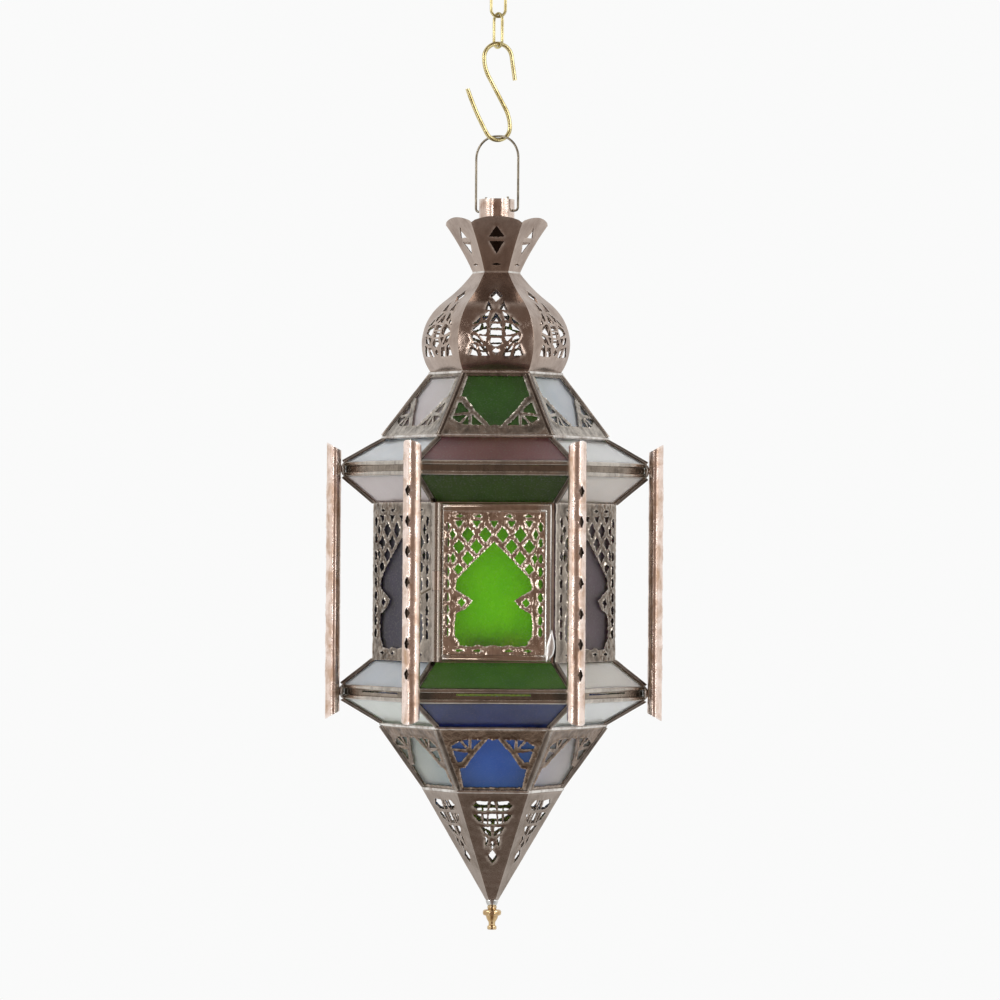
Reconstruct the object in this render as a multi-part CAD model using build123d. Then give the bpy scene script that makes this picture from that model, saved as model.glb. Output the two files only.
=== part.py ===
from build123d import *
import os
from collections import namedtuple
from math import cos, degrees, radians, sin, sqrt, tan

os.makedirs("parts", exist_ok=True)

# Six-sided hanging lantern of sheet copper and coloured glass, on an S-hook and two chain links.
# Millimetres and degrees, +Z up. The origin is the inside top of the upper link, where it hangs.
# Facet 0 faces -Y and holds the door. Facets count anticlockwise from above.

# Shared thicknesses and fits
sheet_t = 0.8
glass_t = 1.8
gap = 0.3
seam = 0.1
pin_clearance = 0.05
overrun = 6.0

# Chain links and S-hook, bent from brass wire
link_wire_d = 2.0
link_length = 26.0
link_width = 12.0
lower_link_turn = -55.0
hook_wire_d = 3.0
hook_height = 67.6
hook_upper_bowl_r = 10.0
hook_lower_bowl_r = 9.0
hook_shank_lean = 29.0
hook_upper_tail = 17.0
hook_upper_lean = 8.5
hook_lower_tail = 34.0
hook_lower_lean = 30.0
hook_tail_bend_r = 180.0
hook_turn = 15.0

# Bail, the wire handle through the collar
bail_wire_d = 1.6
bail_height = 52.5
bail_width = 34.0
bail_arch_r = 15.5
bail_bend_r = 2.4
bail_end_rise = 10.0
bail_end_inset = 3.0
bail_turn = -30.0

# Collar, crown and neck
collar_d = 25.2
collar_length = 50.8
collar_hole_drop = 8.1
neck_t = 1.2
waist_r = 16.8
crown_r = 39.0
crown_height = 32.6
crown_bow = 1.6
crown_arch_rise = 4.4
crown_triangle_w = 10.5
crown_triangle_h = 8.0
crown_slot_w = 7.0
crown_slot_h = 1.6
crown_up_share = 0.80
crown_down_share = 0.41
crown_slot_share = 0.14

# Onion dome
dome_height = 69.0
dome_base_r = 46.0
dome_belly_r = 52.0
dome_belly_share = 0.28
dome_shoulder_r = 36.5
dome_shoulder_share = 0.715
dome_sheet_t = 1.2
dome_hole_w = 6.6
dome_hole_h = 6.0
dome_diamond_shares = [(0.0, 0.76), (0.0, 0.37), (0.45, 0.37), (0.27, 0.24)]
dome_triangle_shares = [(0.32, 0.62), (0.0, 0.52), (0.62, 0.17), (0.0, 0.14)]

# Corner radii and heights of the glazed tiers, from the top down
roof_top_r = 46.5
roof_step_r = 79.0
belt_r = 106.6
body_r = 85.0
base_step_r = 79.0
ledge_r = 49.0
tip_r = 4.5
upper_roof_height = 42.5
lower_roof_height = 15.6
upper_flare_height = 18.0
body_height = 109.9
lower_flare_height = 17.1
upper_base_height = 16.2
lower_base_height = 42.0
pyramid_height = 76.4

# Cames, rails and belts that hold the panes
rib_w = 3.0
rail_height = 2.6
rail_depth = 5.0
rail_proud = 0.7
belt_height = 10.4
belt_depth = 6.6
belt_rail_height = 3.4
belt_groove_depth = 1.2

# Pierced corner sheets over the panes of the roof and the base
filigree_strip = 6.0
filigree_reach = 25.0
filigree_notch = 4.0
filigree_hole_w = 5.2
filigree_hole_h = 5.0
filigree_hole_shares = [(0.80, 0.20), (0.60, 0.32), (0.82, 0.58)]

# Body frame, pierced side panels and door
post_w = 8.0
post_t = 1.0
body_rail_height = 5.0
body_rail_depth = 3.0
arch_shares = [
    (0.0, 0.79), (0.37, 0.65), (0.76, 0.52), (0.80, 0.44), (0.44, 0.39), (0.80, 0.29), (0.78, 0.05),
]
lattice_w = 6.4
lattice_h = 7.4
lattice_shares = [(0.17, 0.86), (0.51, 0.85), (0.34, 0.76), (0.70, 0.76), (0.53, 0.675), (0.71, 0.60)]
margin_slot_w = 3.2
margin_slot_h = 8.0
margin_slot_u_share = 0.92
margin_slot_v_shares = [0.12, 0.28, 0.44, 0.60, 0.76, 0.92]
panel_border = 3.0
door_clearance = 0.7
door_top_rail = 5.8
door_bottom_rail = 4.9
door_stile = 4.4
door_right_gap = 3.4
hinge_inset = 3.0
hinge_proud = 1.6
barrel_r = 3.0
hinge_pin_d = 2.0
knuckle_length = 13.3
knuckle_above_middle = 1.0
knuckle_tab_t = 1.0
tie_wire_d = 1.4
tie_tail = 7.0
tie_drop = 4.0
tie_room = 21.6
tongue_w = 7.4
tongue_h = 14.0

# Six tubular columns at the belt corners
column_d = 11.2
column_w = 14.0
column_height = 193.4
column_slant = 6.0
column_hole_count = 7
column_hole_pitch = 20.8
column_hole_w = 3.0
column_hole_h = 7.0
bead_r = 1.3

# Candle bar and cup inside the body
candle_bar_w = 26.0
candle_bar_t = 1.2
cup_bore_r = 20.0
cup_height = 12.0

# Pierced pyramid, tip cap and turned finial
pyramid_hole_w = 4.6
pyramid_hole_h = 7.5
pyramid_hole_shares = [
    (0.0, 0.90), (0.55, 0.90), (0.0, 0.77), (0.40, 0.77),
    (0.76, 0.78), (0.28, 0.655), (0.26, 0.54), (0.0, 0.43),
]
tip_cap_height = 4.2
tip_cap_bottom_r = 3.1
finial_height = 16.6
finial_neck_r = 2.9
finial_disc_r = 6.5
finial_stem_r = 2.3
finial_foot_r = 3.2
finial_collar_share = 0.18
finial_disc_share = 0.34
finial_cup_share = 0.48
finial_waist_share = 0.68
finial_foot_share = 0.84

# Heights of everything, hung from the origin downwards
link_reach = link_length - link_wire_d
link_bottom_z = link_wire_d / 2 - link_reach
lower_link_top_z = link_bottom_z + link_wire_d + gap
lower_link_bottom_z = lower_link_top_z - link_reach
hook_top_z = lower_link_bottom_z + link_wire_d / 2 + hook_wire_d / 2 + gap
hook_bottom_z = hook_top_z - hook_height
bail_top_z = hook_bottom_z + hook_wire_d / 2 + bail_wire_d / 2 + gap
bail_hole_z = bail_top_z - bail_height
collar_top_z = bail_hole_z + collar_hole_drop
waist_z = collar_top_z - collar_length
dome_top_z = waist_z - neck_t
dome_bottom_z = dome_top_z - dome_height

# A regular hexagon's apothem is cos 30 of its corner radius
all_facets = range(6)
side_angle = 360 / len(all_facets)
mitre = tan(radians(side_angle / 2))
flat = cos(radians(side_angle / 2))
quarter_turn = 90

# One storey of the lantern: apothem at its top and foot, and its heights
Tier = namedtuple("Tier", "top_a foot_a top_z foot_z")


def tier_below(top_z, height, top_r, foot_r):
    return Tier(top_r * flat, foot_r * flat, top_z, top_z - height)


upper_roof = tier_below(dome_bottom_z - rail_height, upper_roof_height, roof_top_r, roof_step_r)
lower_roof = tier_below(upper_roof.foot_z - rail_height, lower_roof_height, roof_step_r, belt_r)
upper_flare = tier_below(lower_roof.foot_z - belt_height, upper_flare_height, belt_r, body_r)
body = tier_below(upper_flare.foot_z, body_height, body_r, body_r)
lower_flare = tier_below(body.foot_z, lower_flare_height, body_r, belt_r)
upper_base = tier_below(lower_flare.foot_z - belt_height, upper_base_height, belt_r, base_step_r)
lower_base = tier_below(upper_base.foot_z - rail_height, lower_base_height, base_step_r, ledge_r)
pyramid = tier_below(lower_base.foot_z - rail_height, pyramid_height, ledge_r, tip_r)

glass_back = sheet_t + glass_t
frame_face = glass_back + gap


def save(node, solids):
    export_step(Compound(solids), f"parts/{node}.step")


def around(solid, facets=all_facets):
    return [Rot(0, 0, side_angle * facet) * solid for facet in facets]


def prismatoid(ring_a, ring_b):
    """Flat-sided solid between two rings of corners."""
    count = len(ring_a)
    outlines = [ring_a, ring_b]
    for i in range(count):
        j = (i + 1) % count
        outlines.append([ring_a[i], ring_a[j], ring_b[j], ring_b[i]])
    return Solid(Shell([Face(Wire.make_polygon(points)) for points in outlines]))


def facet_bar(section, inset=0):
    """Bar along facet 0 with the section's (apothem, z) corners, mitred at both ends less the inset."""
    left = [(inset - a * mitre, -a, z) for a, z in section]
    right = [(a * mitre - inset, -a, z) for a, z in section]
    return prismatoid(left, right)


def lean(tier):
    """How far a step into the wall moves the apothem."""
    run = (tier.top_a - tier.foot_a) / (tier.top_z - tier.foot_z)
    return sqrt(1 + run * run)


def wall_section(tier, near, far):
    """Section of a tier's wall from one depth below its outer face to another."""
    outer = near * lean(tier)
    inner = far * lean(tier)
    return [
        (tier.top_a - outer, tier.top_z),
        (tier.foot_a - outer, tier.foot_z),
        (tier.foot_a - inner, tier.foot_z),
        (tier.top_a - inner, tier.top_z),
    ]


def panes(tier):
    return facet_bar(wall_section(tier, sheet_t, glass_back), seam)


def corner_angle(tier, near, far, width):
    """Folded strip on the corner between facets 0 and 1, from one depth to another."""
    rings = []
    for a, z in ((tier.top_a, tier.top_z), (tier.foot_a, tier.foot_z)):
        outer = a - near * lean(tier)
        inner = a - far * lean(tier)
        here = [(inner * mitre - width, -inner), (outer * mitre - width, -outer), (outer * mitre, -outer)]
        beside = [(width - outer * mitre, -outer), (width - inner * mitre, -inner), (-inner * mitre, -inner)]
        turn = radians(side_angle)
        there = [(x * cos(turn) - y * sin(turn), x * sin(turn) + y * cos(turn)) for x, y in beside]
        rings.append([(x, y, z) for x, y in here + there])
    return prismatoid(*rings)


def ring_bar(top_z, height, corner_r, depth, proud):
    """One mitred bar of a six-sided rail."""
    outer = corner_r * flat + proud
    inner = corner_r * flat - depth
    return facet_bar([(outer, top_z), (outer, top_z - height), (inner, top_z - height), (inner, top_z)])


def tier_plane(tier):
    """Plane on facet 0 of a tier: origin at the middle of its foot, local Y up the slope."""
    rise = tier.top_z - tier.foot_z
    back = tier.foot_a - tier.top_a
    return Plane(origin=(0, -tier.foot_a, tier.foot_z), x_dir=(1, 0, 0), z_dir=(0, -rise, back))


def slope(tier):
    return (tier.top_z - tier.foot_z) * lean(tier)


def tier_spot(tier, u_share, v_share):
    """Place on facet 0 of a tier, as shares of its half width there and of its slope."""
    a = tier.foot_a + (tier.top_a - tier.foot_a) * v_share
    return a * mitre * u_share, slope(tier) * v_share


def outline(points):
    return make_face(Polyline(*points, close=True))


def diamond(place, width, height):
    x, y = place
    return outline([(x - width / 2, y), (x, y - height / 2), (x + width / 2, y), (x, y + height / 2)])


def triangle(place, width, height):
    x, y = place
    return outline([(x - width / 2, y - height / 2), (x + width / 2, y - height / 2), (x, y + height / 2)])


def both_sides(shares):
    """Each place with its mirror image, or once where it is on the middle line."""
    return [(sign * u, v) for u, v in shares for sign in ((1, -1) if u else (1,))]


def pierce(sheet, plane, holes):
    cutters = [extrude(plane * hole, amount=overrun, both=True) for hole in holes]
    return (sheet - cutters).solid()


def upright(turn, z=0):
    """Plane standing on the axis: local X turned from +X about the axis, local Y up."""
    angle = radians(turn)
    return Plane(origin=(0, 0, z), x_dir=(cos(angle), sin(angle), 0), z_dir=(sin(angle), -cos(angle), 0))


def wire_along(path, wire_d):
    start = Plane(origin=path @ 0, z_dir=path % 0)
    return sweep(start * Circle(wire_d / 2), path=path).solid()


# Chain link: a closed loop of wire with two straight sides
def chain_link(bottom_z, turn):
    loop = SlotOverall(link_reach, link_width - link_wire_d, rotation=quarter_turn).face().outer_wire()
    return wire_along(upright(turn, bottom_z + link_reach / 2) * loop, link_wire_d)


# S-hook: two bowls, a shank that bends softly from one into the other, and two tails
def s_hook():
    upper = Vector(0, hook_top_z - hook_upper_bowl_r)
    across = hook_upper_bowl_r + hook_lower_bowl_r
    apart = hook_height - across
    rise = cos(radians(hook_shank_lean))
    run = sin(radians(hook_shank_lean))
    bend_r = (apart * run - across * rise) / (1 - rise) / 2
    shank_length = (across * run - apart * (1 - rise)) / (1 - rise)
    upper_arc = CenterArc(upper, hook_upper_bowl_r, hook_upper_lean, 180 - hook_upper_lean)
    upper_tip = upper_arc @ 0 - (upper_arc % 0) * hook_upper_tail
    upper_bend = JernArc(upper_arc @ 1, upper_arc % 1, bend_r, hook_shank_lean)
    shank = Line(upper_bend @ 1, upper_bend @ 1 + (upper_bend % 1) * shank_length)
    lower_bend = JernArc(shank @ 1, shank % 1, bend_r, -hook_shank_lean)
    lower_arc = JernArc(lower_bend @ 1, lower_bend % 1, hook_lower_bowl_r, hook_lower_lean - 180)
    tail_turn = degrees(hook_lower_tail / hook_tail_bend_r)
    lower_tail = JernArc(lower_arc @ 1, lower_arc % 1, hook_tail_bend_r, -tail_turn)
    runs = [Line(upper_tip, upper_arc @ 0), upper_arc, upper_bend, shank, lower_bend, lower_arc, lower_tail]
    return wire_along(upright(hook_turn) * Wire([edge for run in runs for edge in run.edges()]), hook_wire_d)


# Bail: an arched wire whose ends pass in through the collar and turn up inside it
def bail():
    leg = bail_width / 2
    end = collar_d / 2 - sheet_t - bail_end_inset
    half = [(end, bail_end_rise), (end, 0), (leg, 0), (leg, bail_height)]
    points = half + [(-x, z) for x, z in reversed(half)]
    bends = [bail_bend_r, bail_bend_r, bail_arch_r, bail_arch_r, bail_bend_r, bail_bend_r]
    path = FilletPolyline(*points, radius=bends)
    return wire_along(upright(bail_turn, bail_hole_z) * path.wire(), bail_wire_d)


# Collar: an open tube with a hole on each side for the bail
def collar_tube():
    tube = extrude(Circle(collar_d / 2) - Circle(collar_d / 2 - sheet_t), amount=collar_length)
    hole = upright(bail_turn + quarter_turn, bail_hole_z) * Circle(bail_wire_d / 2 + gap)
    return (Pos(0, 0, waist_z) * tube - extrude(hole, amount=collar_d, both=True)).solid()


def neck_ring():
    plate = RegularPolygon(waist_r, len(all_facets)) - Circle(collar_d / 2 - sheet_t)
    return extrude(Pos(0, 0, dome_top_z) * plate, amount=neck_t).solid()


def facet_wedge(reach, bottom_z, top_z):
    """Everything in front of facet 0 between its two corner planes, a seam short of them."""
    apex = seam / sin(radians(side_angle / 2))
    corners = [(0, -apex), (-reach * mitre, -apex - reach), (reach * mitre, -apex - reach)]
    return extrude(Pos(0, 0, bottom_z) * outline(corners), amount=top_z - bottom_z)


def rolled_sheet(arcs, thickness):
    """Sheet bent to a run of (apothem, z) arcs, as wide as facet 0."""
    inner = [Pos(-thickness, 0) * arc for arc in arcs]
    ends = [Line(arcs[0] @ 0, inner[0] @ 0), Line(arcs[-1] @ 1, inner[-1] @ 1)]
    section = make_face([edge for run in arcs + inner + ends for edge in run.edges()])
    box = section.bounding_box()
    strip = extrude(upright(-quarter_turn) * section, amount=box.max.X, both=True)
    return (strip & facet_wedge(box.max.X, box.min.Y, box.max.Y)).solid()


# Crown: six flared petals with rounded tips and punched triangles
def crown_petal():
    top_z = waist_z + crown_height + crown_arch_rise
    low = (waist_r * flat, waist_z)
    high = (crown_r * flat, top_z)
    bowed = ((low[0] + high[0] - crown_bow) / 2, (low[1] + high[1] + crown_bow) / 2)
    sheet = rolled_sheet([ThreePointArc(low, bowed, high)], sheet_t)
    half = crown_r / 2
    arch_r = (half * half + crown_arch_rise * crown_arch_rise) / (2 * crown_arch_rise)
    front = upright(0)
    tip = Pos(0, top_z - arch_r) * Circle(arch_r)
    rounded = (sheet & extrude(front * tip, amount=crown_r)).solid()
    holes = [
        triangle((0, waist_z + crown_height * crown_up_share), crown_triangle_w, crown_triangle_h),
        triangle((0, waist_z + crown_height * crown_down_share), crown_triangle_w, -crown_triangle_h),
        diamond((0, waist_z + crown_height * crown_slot_share), crown_slot_w, crown_slot_h),
    ]
    return (rounded - [extrude(front * hole, amount=crown_r) for hole in holes]).solid()


# Dome: six gores, full at the belly and drawn in to the waist
def dome_gore():
    foot = Vector(dome_base_r * flat, dome_bottom_z)
    belly = Vector(dome_belly_r * flat, dome_bottom_z + dome_height * dome_belly_share)
    shoulder = Vector(dome_shoulder_r * flat, dome_bottom_z + dome_height * dome_shoulder_share)
    full = ThreePointArc(foot, belly, shoulder)
    drawn_in = TangentArc(shoulder, Vector(waist_r * flat, dome_top_z), tangent=full % 1)
    gore = rolled_sheet([full, drawn_in], dome_sheet_t)
    half = dome_belly_r * flat * mitre
    holes = []
    for u, v in both_sides(dome_diamond_shares):
        holes.append(diamond((u * half, dome_bottom_z + v * dome_height), dome_hole_w, dome_hole_h))
    for u, v in both_sides(dome_triangle_shares):
        holes.append(triangle((u * half, dome_bottom_z + v * dome_height), dome_hole_w, dome_hole_h))
    return (gore - [extrude(upright(0) * hole, amount=dome_belly_r) for hole in holes]).solid()


# Belt: a grooved band round the widest corners
def belt_bar(top_z):
    outer = belt_r * flat
    web = outer - belt_groove_depth
    inner = outer - belt_depth
    foot_z = top_z - belt_height
    section = [
        (outer, top_z),
        (outer, top_z - belt_rail_height),
        (web, top_z - belt_rail_height),
        (web, foot_z + belt_rail_height),
        (outer, foot_z + belt_rail_height),
        (outer, foot_z),
        (inner, foot_z),
        (inner, top_z),
    ]
    return facet_bar(section)


# Filigree: a strip along one edge with a pierced triangle in each corner, cut away between them
def filigree(tier, strip_at_foot):
    sheet = facet_bar(wall_section(tier, 0, sheet_t), rib_w)
    flip = 1 if strip_at_foot else -1
    edge_v = 0 if strip_at_foot else slope(tier)
    wide = max(tier.top_a, tier.foot_a) * mitre
    far_v = edge_v + flip * (slope(tier) + overrun)
    window = [
        (0, edge_v + flip * filigree_strip),
        (filigree_notch, edge_v + flip * (filigree_strip + filigree_notch)),
        (wide, edge_v + flip * filigree_reach),
        (wide, far_v),
        (-wide, far_v),
        (-wide, edge_v + flip * filigree_reach),
        (-filigree_notch, edge_v + flip * (filigree_strip + filigree_notch)),
    ]
    edge_a = tier.foot_a if strip_at_foot else tier.top_a
    edge_half = edge_a * mitre - rib_w
    holes = [outline(window)]
    for u, v in both_sides(filigree_hole_shares):
        place = (u * edge_half, edge_v + flip * (filigree_strip / 2 + v * (filigree_reach - filigree_strip)))
        holes.append(triangle(place, filigree_hole_w, flip * filigree_hole_h))
    return pierce(sheet, tier_plane(tier), holes)


# Lattice panel: a pierced sheet with an arched window, punched diamonds and a slotted margin
def lattice_holes(left, right, bottom, top):
    middle = (left + right) / 2
    half = (right - left) / 2 - panel_border
    foot = bottom + panel_border
    height = top - bottom - 2 * panel_border
    right_side = [(middle + u * half, foot + v * height) for u, v in arch_shares]
    left_side = [(middle - u * half, foot + v * height) for u, v in reversed(arch_shares[1:])]
    holes = [outline(right_side + left_side)]
    for u, v in both_sides(lattice_shares):
        holes.append(diamond((middle + u * half, foot + v * height), lattice_w, lattice_h))
    for v in margin_slot_v_shares:
        for sign in (1, -1):
            place = (middle + sign * margin_slot_u_share * half, foot + v * height)
            holes.append(diamond(place, margin_slot_w, margin_slot_h))
    return holes


def side_plate():
    half = body.foot_a * mitre - seam
    holes = lattice_holes(-half, half, 0, body_height)
    return pierce(facet_bar(wall_section(body, 0, sheet_t), seam), tier_plane(body), holes)


# Door leaf, in the plane of facet 0: x along the facet, depth measured inwards
face_y = -body.foot_a
hinge_x = hinge_inset - body.foot_a * mitre
hinge_y = face_y - hinge_proud
leaf_left = hinge_x + barrel_r + gap
leaf_right = body.foot_a * mitre - door_right_gap
leaf_top = body.top_z - door_clearance
leaf_bottom = body.foot_z + door_clearance
panel_left = leaf_left + door_stile
panel_right = leaf_right - door_stile
panel_top = leaf_top - door_top_rail
panel_bottom = leaf_bottom + door_bottom_rail


def leaf_box(left, right, bottom, top, near, far):
    """Box in the door's plane from one depth below the facet to another."""
    size = Box(right - left, far - near, top - bottom, align=(Align.MIN, Align.MIN, Align.MIN))
    return Pos(left, face_y + near, bottom) * size


def door_plate():
    holes = lattice_holes(panel_left, panel_right, panel_bottom - body.foot_z, panel_top - body.foot_z)
    blank = leaf_box(panel_left, panel_right, panel_bottom, panel_top, 0, sheet_t)
    return pierce(blank, tier_plane(body), holes)


def door_frame():
    return [
        leaf_box(panel_left, leaf_right, panel_top, leaf_top, 0, glass_back),
        leaf_box(panel_left, leaf_right, leaf_bottom, panel_bottom, 0, glass_back),
        leaf_box(panel_right, leaf_right, panel_bottom, panel_top, 0, glass_back),
    ]


knuckle_bottom = (leaf_top + leaf_bottom - knuckle_length) / 2 + knuckle_above_middle
knuckle_top = knuckle_bottom + knuckle_length


def on_hinge(radius, bottom, top):
    return extrude(Pos(hinge_x, hinge_y, bottom) * Circle(radius), amount=top - bottom)


# Hinge stile: the door's left edge, rolled into a barrel above and below the middle knuckle
def door_hinge_stile():
    stile = leaf_box(leaf_left, panel_left, leaf_bottom, leaf_top, 0, glass_back)
    for bottom, top in ((leaf_bottom, knuckle_bottom - gap), (knuckle_top + gap, leaf_top)):
        stile += on_hinge(barrel_r, bottom, top)
        stile += leaf_box(hinge_x, leaf_left, bottom, top, 0, sheet_t)
    return (stile - on_hinge(hinge_pin_d / 2 + pin_clearance, leaf_bottom, leaf_top)).solid()


# Knuckle: a strap round the pin, with a tab back to the corner post
def hinge_knuckle():
    strap = on_hinge(barrel_r, knuckle_bottom, knuckle_top)
    half_tab = knuckle_tab_t / 2
    strap += leaf_box(hinge_x - half_tab, hinge_x + half_tab, knuckle_bottom, knuckle_top, 0, frame_face)
    return (strap - on_hinge(hinge_pin_d / 2 + pin_clearance, knuckle_bottom, knuckle_top)).solid()


# Tie wire: the short bent end that sticks out beside the knuckle, steeper where the column leaves less room
def tie_wire():
    start = Vector(hinge_x - barrel_r - tie_wire_d / 2, hinge_y, knuckle_bottom + tie_wire_d)
    length = Vector(tie_tail, 0, tie_drop).length
    heading = Vector(-tie_tail * (belt_r - body_r) / tie_room, 0, -tie_drop).normalized()
    return wire_along(Wire(Line(start, start + heading * length).edges()), tie_wire_d)


def hinge_pin():
    return on_hinge(hinge_pin_d / 2, leaf_bottom, leaf_top).solid()


# Tongue: a leaf-shaped tab on the door's lower right corner, the pull that laps the post
def door_tongue():
    right = body.foot_a * mitre - gap
    left = right - tongue_w
    middle = (left + right) / 2
    low = Vector(middle, leaf_bottom)
    high = Vector(middle, leaf_bottom + tongue_h)
    half_up = leaf_bottom + tongue_h / 2
    leaf = make_face([
        ThreePointArc(low, Vector(right, half_up), high).edge(),
        ThreePointArc(high, Vector(left, half_up), low).edge(),
    ])
    return extrude(Pos(0, face_y, 0) * (upright(0) * leaf), amount=sheet_t).solid()


# Column: a flattened tube just clear of the belt corners, its ends cut on the slant
column_axis_r = belt_r + column_d / 2 + gap
column_middle_z = (body.top_z + body.foot_z) / 2


def column_section(inset=0):
    return SlotOverall(column_w - 2 * inset, column_d - 2 * inset, rotation=quarter_turn)


def column():
    ring = column_section() - column_section(sheet_t)
    tube = Pos(column_axis_r, 0, 0) * extrude(ring, amount=column_height / 2, both=True)
    inner_x = column_axis_r - column_d / 2
    outer_x = column_axis_r + column_d / 2
    half = column_height / 2
    side = [
        (inner_x, column_slant - half), (outer_x, -half), (outer_x, half), (inner_x, half - column_slant),
    ]
    tube = (tube & extrude(upright(0) * outline(side), amount=column_d, both=True)).solid()
    first = -(column_hole_count - 1) / 2
    for i in range(column_hole_count):
        hole = diamond((0, (first + i) * column_hole_pitch), column_hole_w, column_hole_h)
        tube -= extrude(Pos(column_axis_r, 0, 0) * (upright(quarter_turn) * hole), amount=column_d)
    return (Pos(0, 0, column_middle_z) * tube).solid()


# Solder bead: rolls into the corner between a belt's face and the column beside it
def solder_bead(rail_z, side):
    clear_r = bead_r + seam
    reach = column_d / 2 + clear_r
    back = belt_r + clear_r / flat - column_axis_r
    flat_half = (column_w - column_d) / 2
    fold = 1 + mitre * mitre
    lead = back * mitre + flat_half
    out = (lead + sqrt(lead * lead - fold * (back * back + flat_half * flat_half - reach * reach))) / fold
    return Pos(column_axis_r + back - mitre * out, side * out, rail_z) * Sphere(bead_r)


# Candle bar: a flat strip across the bottom rails, with a tin cup in its middle
bar_z = body.foot_z + body_rail_height


def candle_bar():
    length = 2 * (body.foot_a - frame_face)
    bar = Box(length, candle_bar_w, candle_bar_t, align=(Align.CENTER, Align.CENTER, Align.MIN))
    return (Rot(0, 0, side_angle / 2) * (Pos(0, 0, bar_z) * bar)).solid()


def candle_cup():
    cup = Cylinder(cup_bore_r + sheet_t, cup_height, align=(Align.CENTER, Align.CENTER, Align.MIN))
    well = Cylinder(cup_bore_r, cup_height, align=(Align.CENTER, Align.CENTER, Align.MIN))
    return (Pos(0, 0, bar_z + candle_bar_t) * (cup - Pos(0, 0, sheet_t) * well)).solid()


def pyramid_sheet():
    holes = []
    for u, v in both_sides(pyramid_hole_shares):
        holes.append(diamond(tier_spot(pyramid, u, v), pyramid_hole_w * v, pyramid_hole_h * v))
    return pierce(facet_bar(wall_section(pyramid, 0, sheet_t), seam), tier_plane(pyramid), holes)


def turned(profile):
    """Solid of revolution about the axis from (radius, z) corners."""
    return revolve(upright(0) * outline(profile), axis=Axis.Z).solid()


cap_foot_z = pyramid.foot_z - tip_cap_height


def tip_cap():
    side = [(tip_r, pyramid.foot_z), (tip_cap_bottom_r, cap_foot_z)]
    return turned([(0, pyramid.foot_z)] + side + [(0, cap_foot_z)])


# Finial: a turned brass drop with a collar, a disc, a cupped stem and a small foot
def finial():
    steps = [
        (0, 0),
        (finial_neck_r, 0),
        (finial_neck_r, finial_collar_share),
        (finial_disc_r, finial_disc_share),
        (finial_neck_r + (finial_disc_r - finial_neck_r) / 2, finial_cup_share),
        (finial_stem_r, finial_waist_share),
        (finial_stem_r, finial_foot_share),
        (finial_foot_r, finial_foot_share),
        (finial_foot_r, 1),
        (0, 1),
    ]
    return turned([(r, cap_foot_z - share * finial_height) for r, share in steps])


# Panes by colour: opposite facets share one
front_pair = (0, 3)
right_pair = (1, 4)
left_pair = (2, 5)
pane_colours = {
    "upper_roof": (upper_roof, "green", "blue", "rose"),
    "lower_roof": (lower_roof, "mauve", "clear", "blue"),
    "upper_flare": (upper_flare, "green", "amber", "rose"),
    "lower_flare": (lower_flare, "green", "amber", "blue"),
    "upper_base": (upper_base, "indigo", "clear", "sage"),
    "lower_base": (lower_base, "blue", "rose", "sage"),
}

save("chain_link_upper", [chain_link(link_bottom_z, 0)])
save("chain_link_lower", [chain_link(lower_link_bottom_z, lower_link_turn)])
save("s_hook", [s_hook()])
save("bail", [bail()])
save("collar_tube", [collar_tube()])
save("crown_petals", around(crown_petal()))
save("neck_ring", [neck_ring()])
save("dome_gores", around(dome_gore()))

for name, (tier, *colours) in pane_colours.items():
    for colour, pair in zip(colours, (front_pair, right_pair, left_pair)):
        save(f"{name}_panes_{colour}", around(panes(tier), pair))

save("upper_roof_filigree", around(filigree(upper_roof, True)))
save("lower_base_filigree", around(filigree(lower_base, False)))
save("dome_rail", around(ring_bar(dome_bottom_z, rail_height, roof_top_r, rail_depth, rail_proud)))
save("roof_step_rail", around(ring_bar(upper_roof.foot_z, rail_height, roof_step_r, rail_depth, rail_proud)))
save("base_step_rail", around(ring_bar(upper_base.foot_z, rail_height, base_step_r, rail_depth, rail_proud)))
save("ledge_rail", around(ring_bar(lower_base.foot_z, rail_height, ledge_r, rail_depth, rail_proud)))

save("upper_belt", around(belt_bar(lower_roof.foot_z)))
save("lower_belt", around(belt_bar(lower_flare.foot_z)))

roof_tiers = (upper_roof, lower_roof, upper_flare)
base_tiers = (lower_flare, upper_base, lower_base)
save("roof_ribs", [rib for tier in roof_tiers for rib in around(corner_angle(tier, 0, sheet_t, rib_w))])
save("base_ribs", [rib for tier in base_tiers for rib in around(corner_angle(tier, 0, sheet_t, rib_w))])

save("columns", around(column()))
beads = []
for above, below in ((lower_roof, upper_flare), (lower_flare, upper_base)):
    for rail_z in (above.foot_z - belt_rail_height / 2, below.top_z + belt_rail_height / 2):
        for side in (1, -1):
            beads += around(solder_bead(rail_z, side))
save("solder_beads", beads)

frame_body = Tier(body.top_a, body.foot_a, body.top_z - body_rail_height, body.foot_z + body_rail_height)
save("body_posts", around(corner_angle(frame_body, frame_face, frame_face + post_t, post_w)))
body_rails = []
for top_z in (body.top_z, body.foot_z + body_rail_height):
    rail = ring_bar(top_z, body_rail_height, body_r, frame_face + body_rail_depth, -frame_face)
    body_rails += around(rail)
save("body_rails", body_rails)
save("side_plates", around(side_plate(), all_facets[1:]))
save("side_panes_green", around(panes(body), front_pair[1:]))
save("side_panes_mauve", around(panes(body), right_pair))
save("side_panes_indigo", around(panes(body), left_pair))

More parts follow.
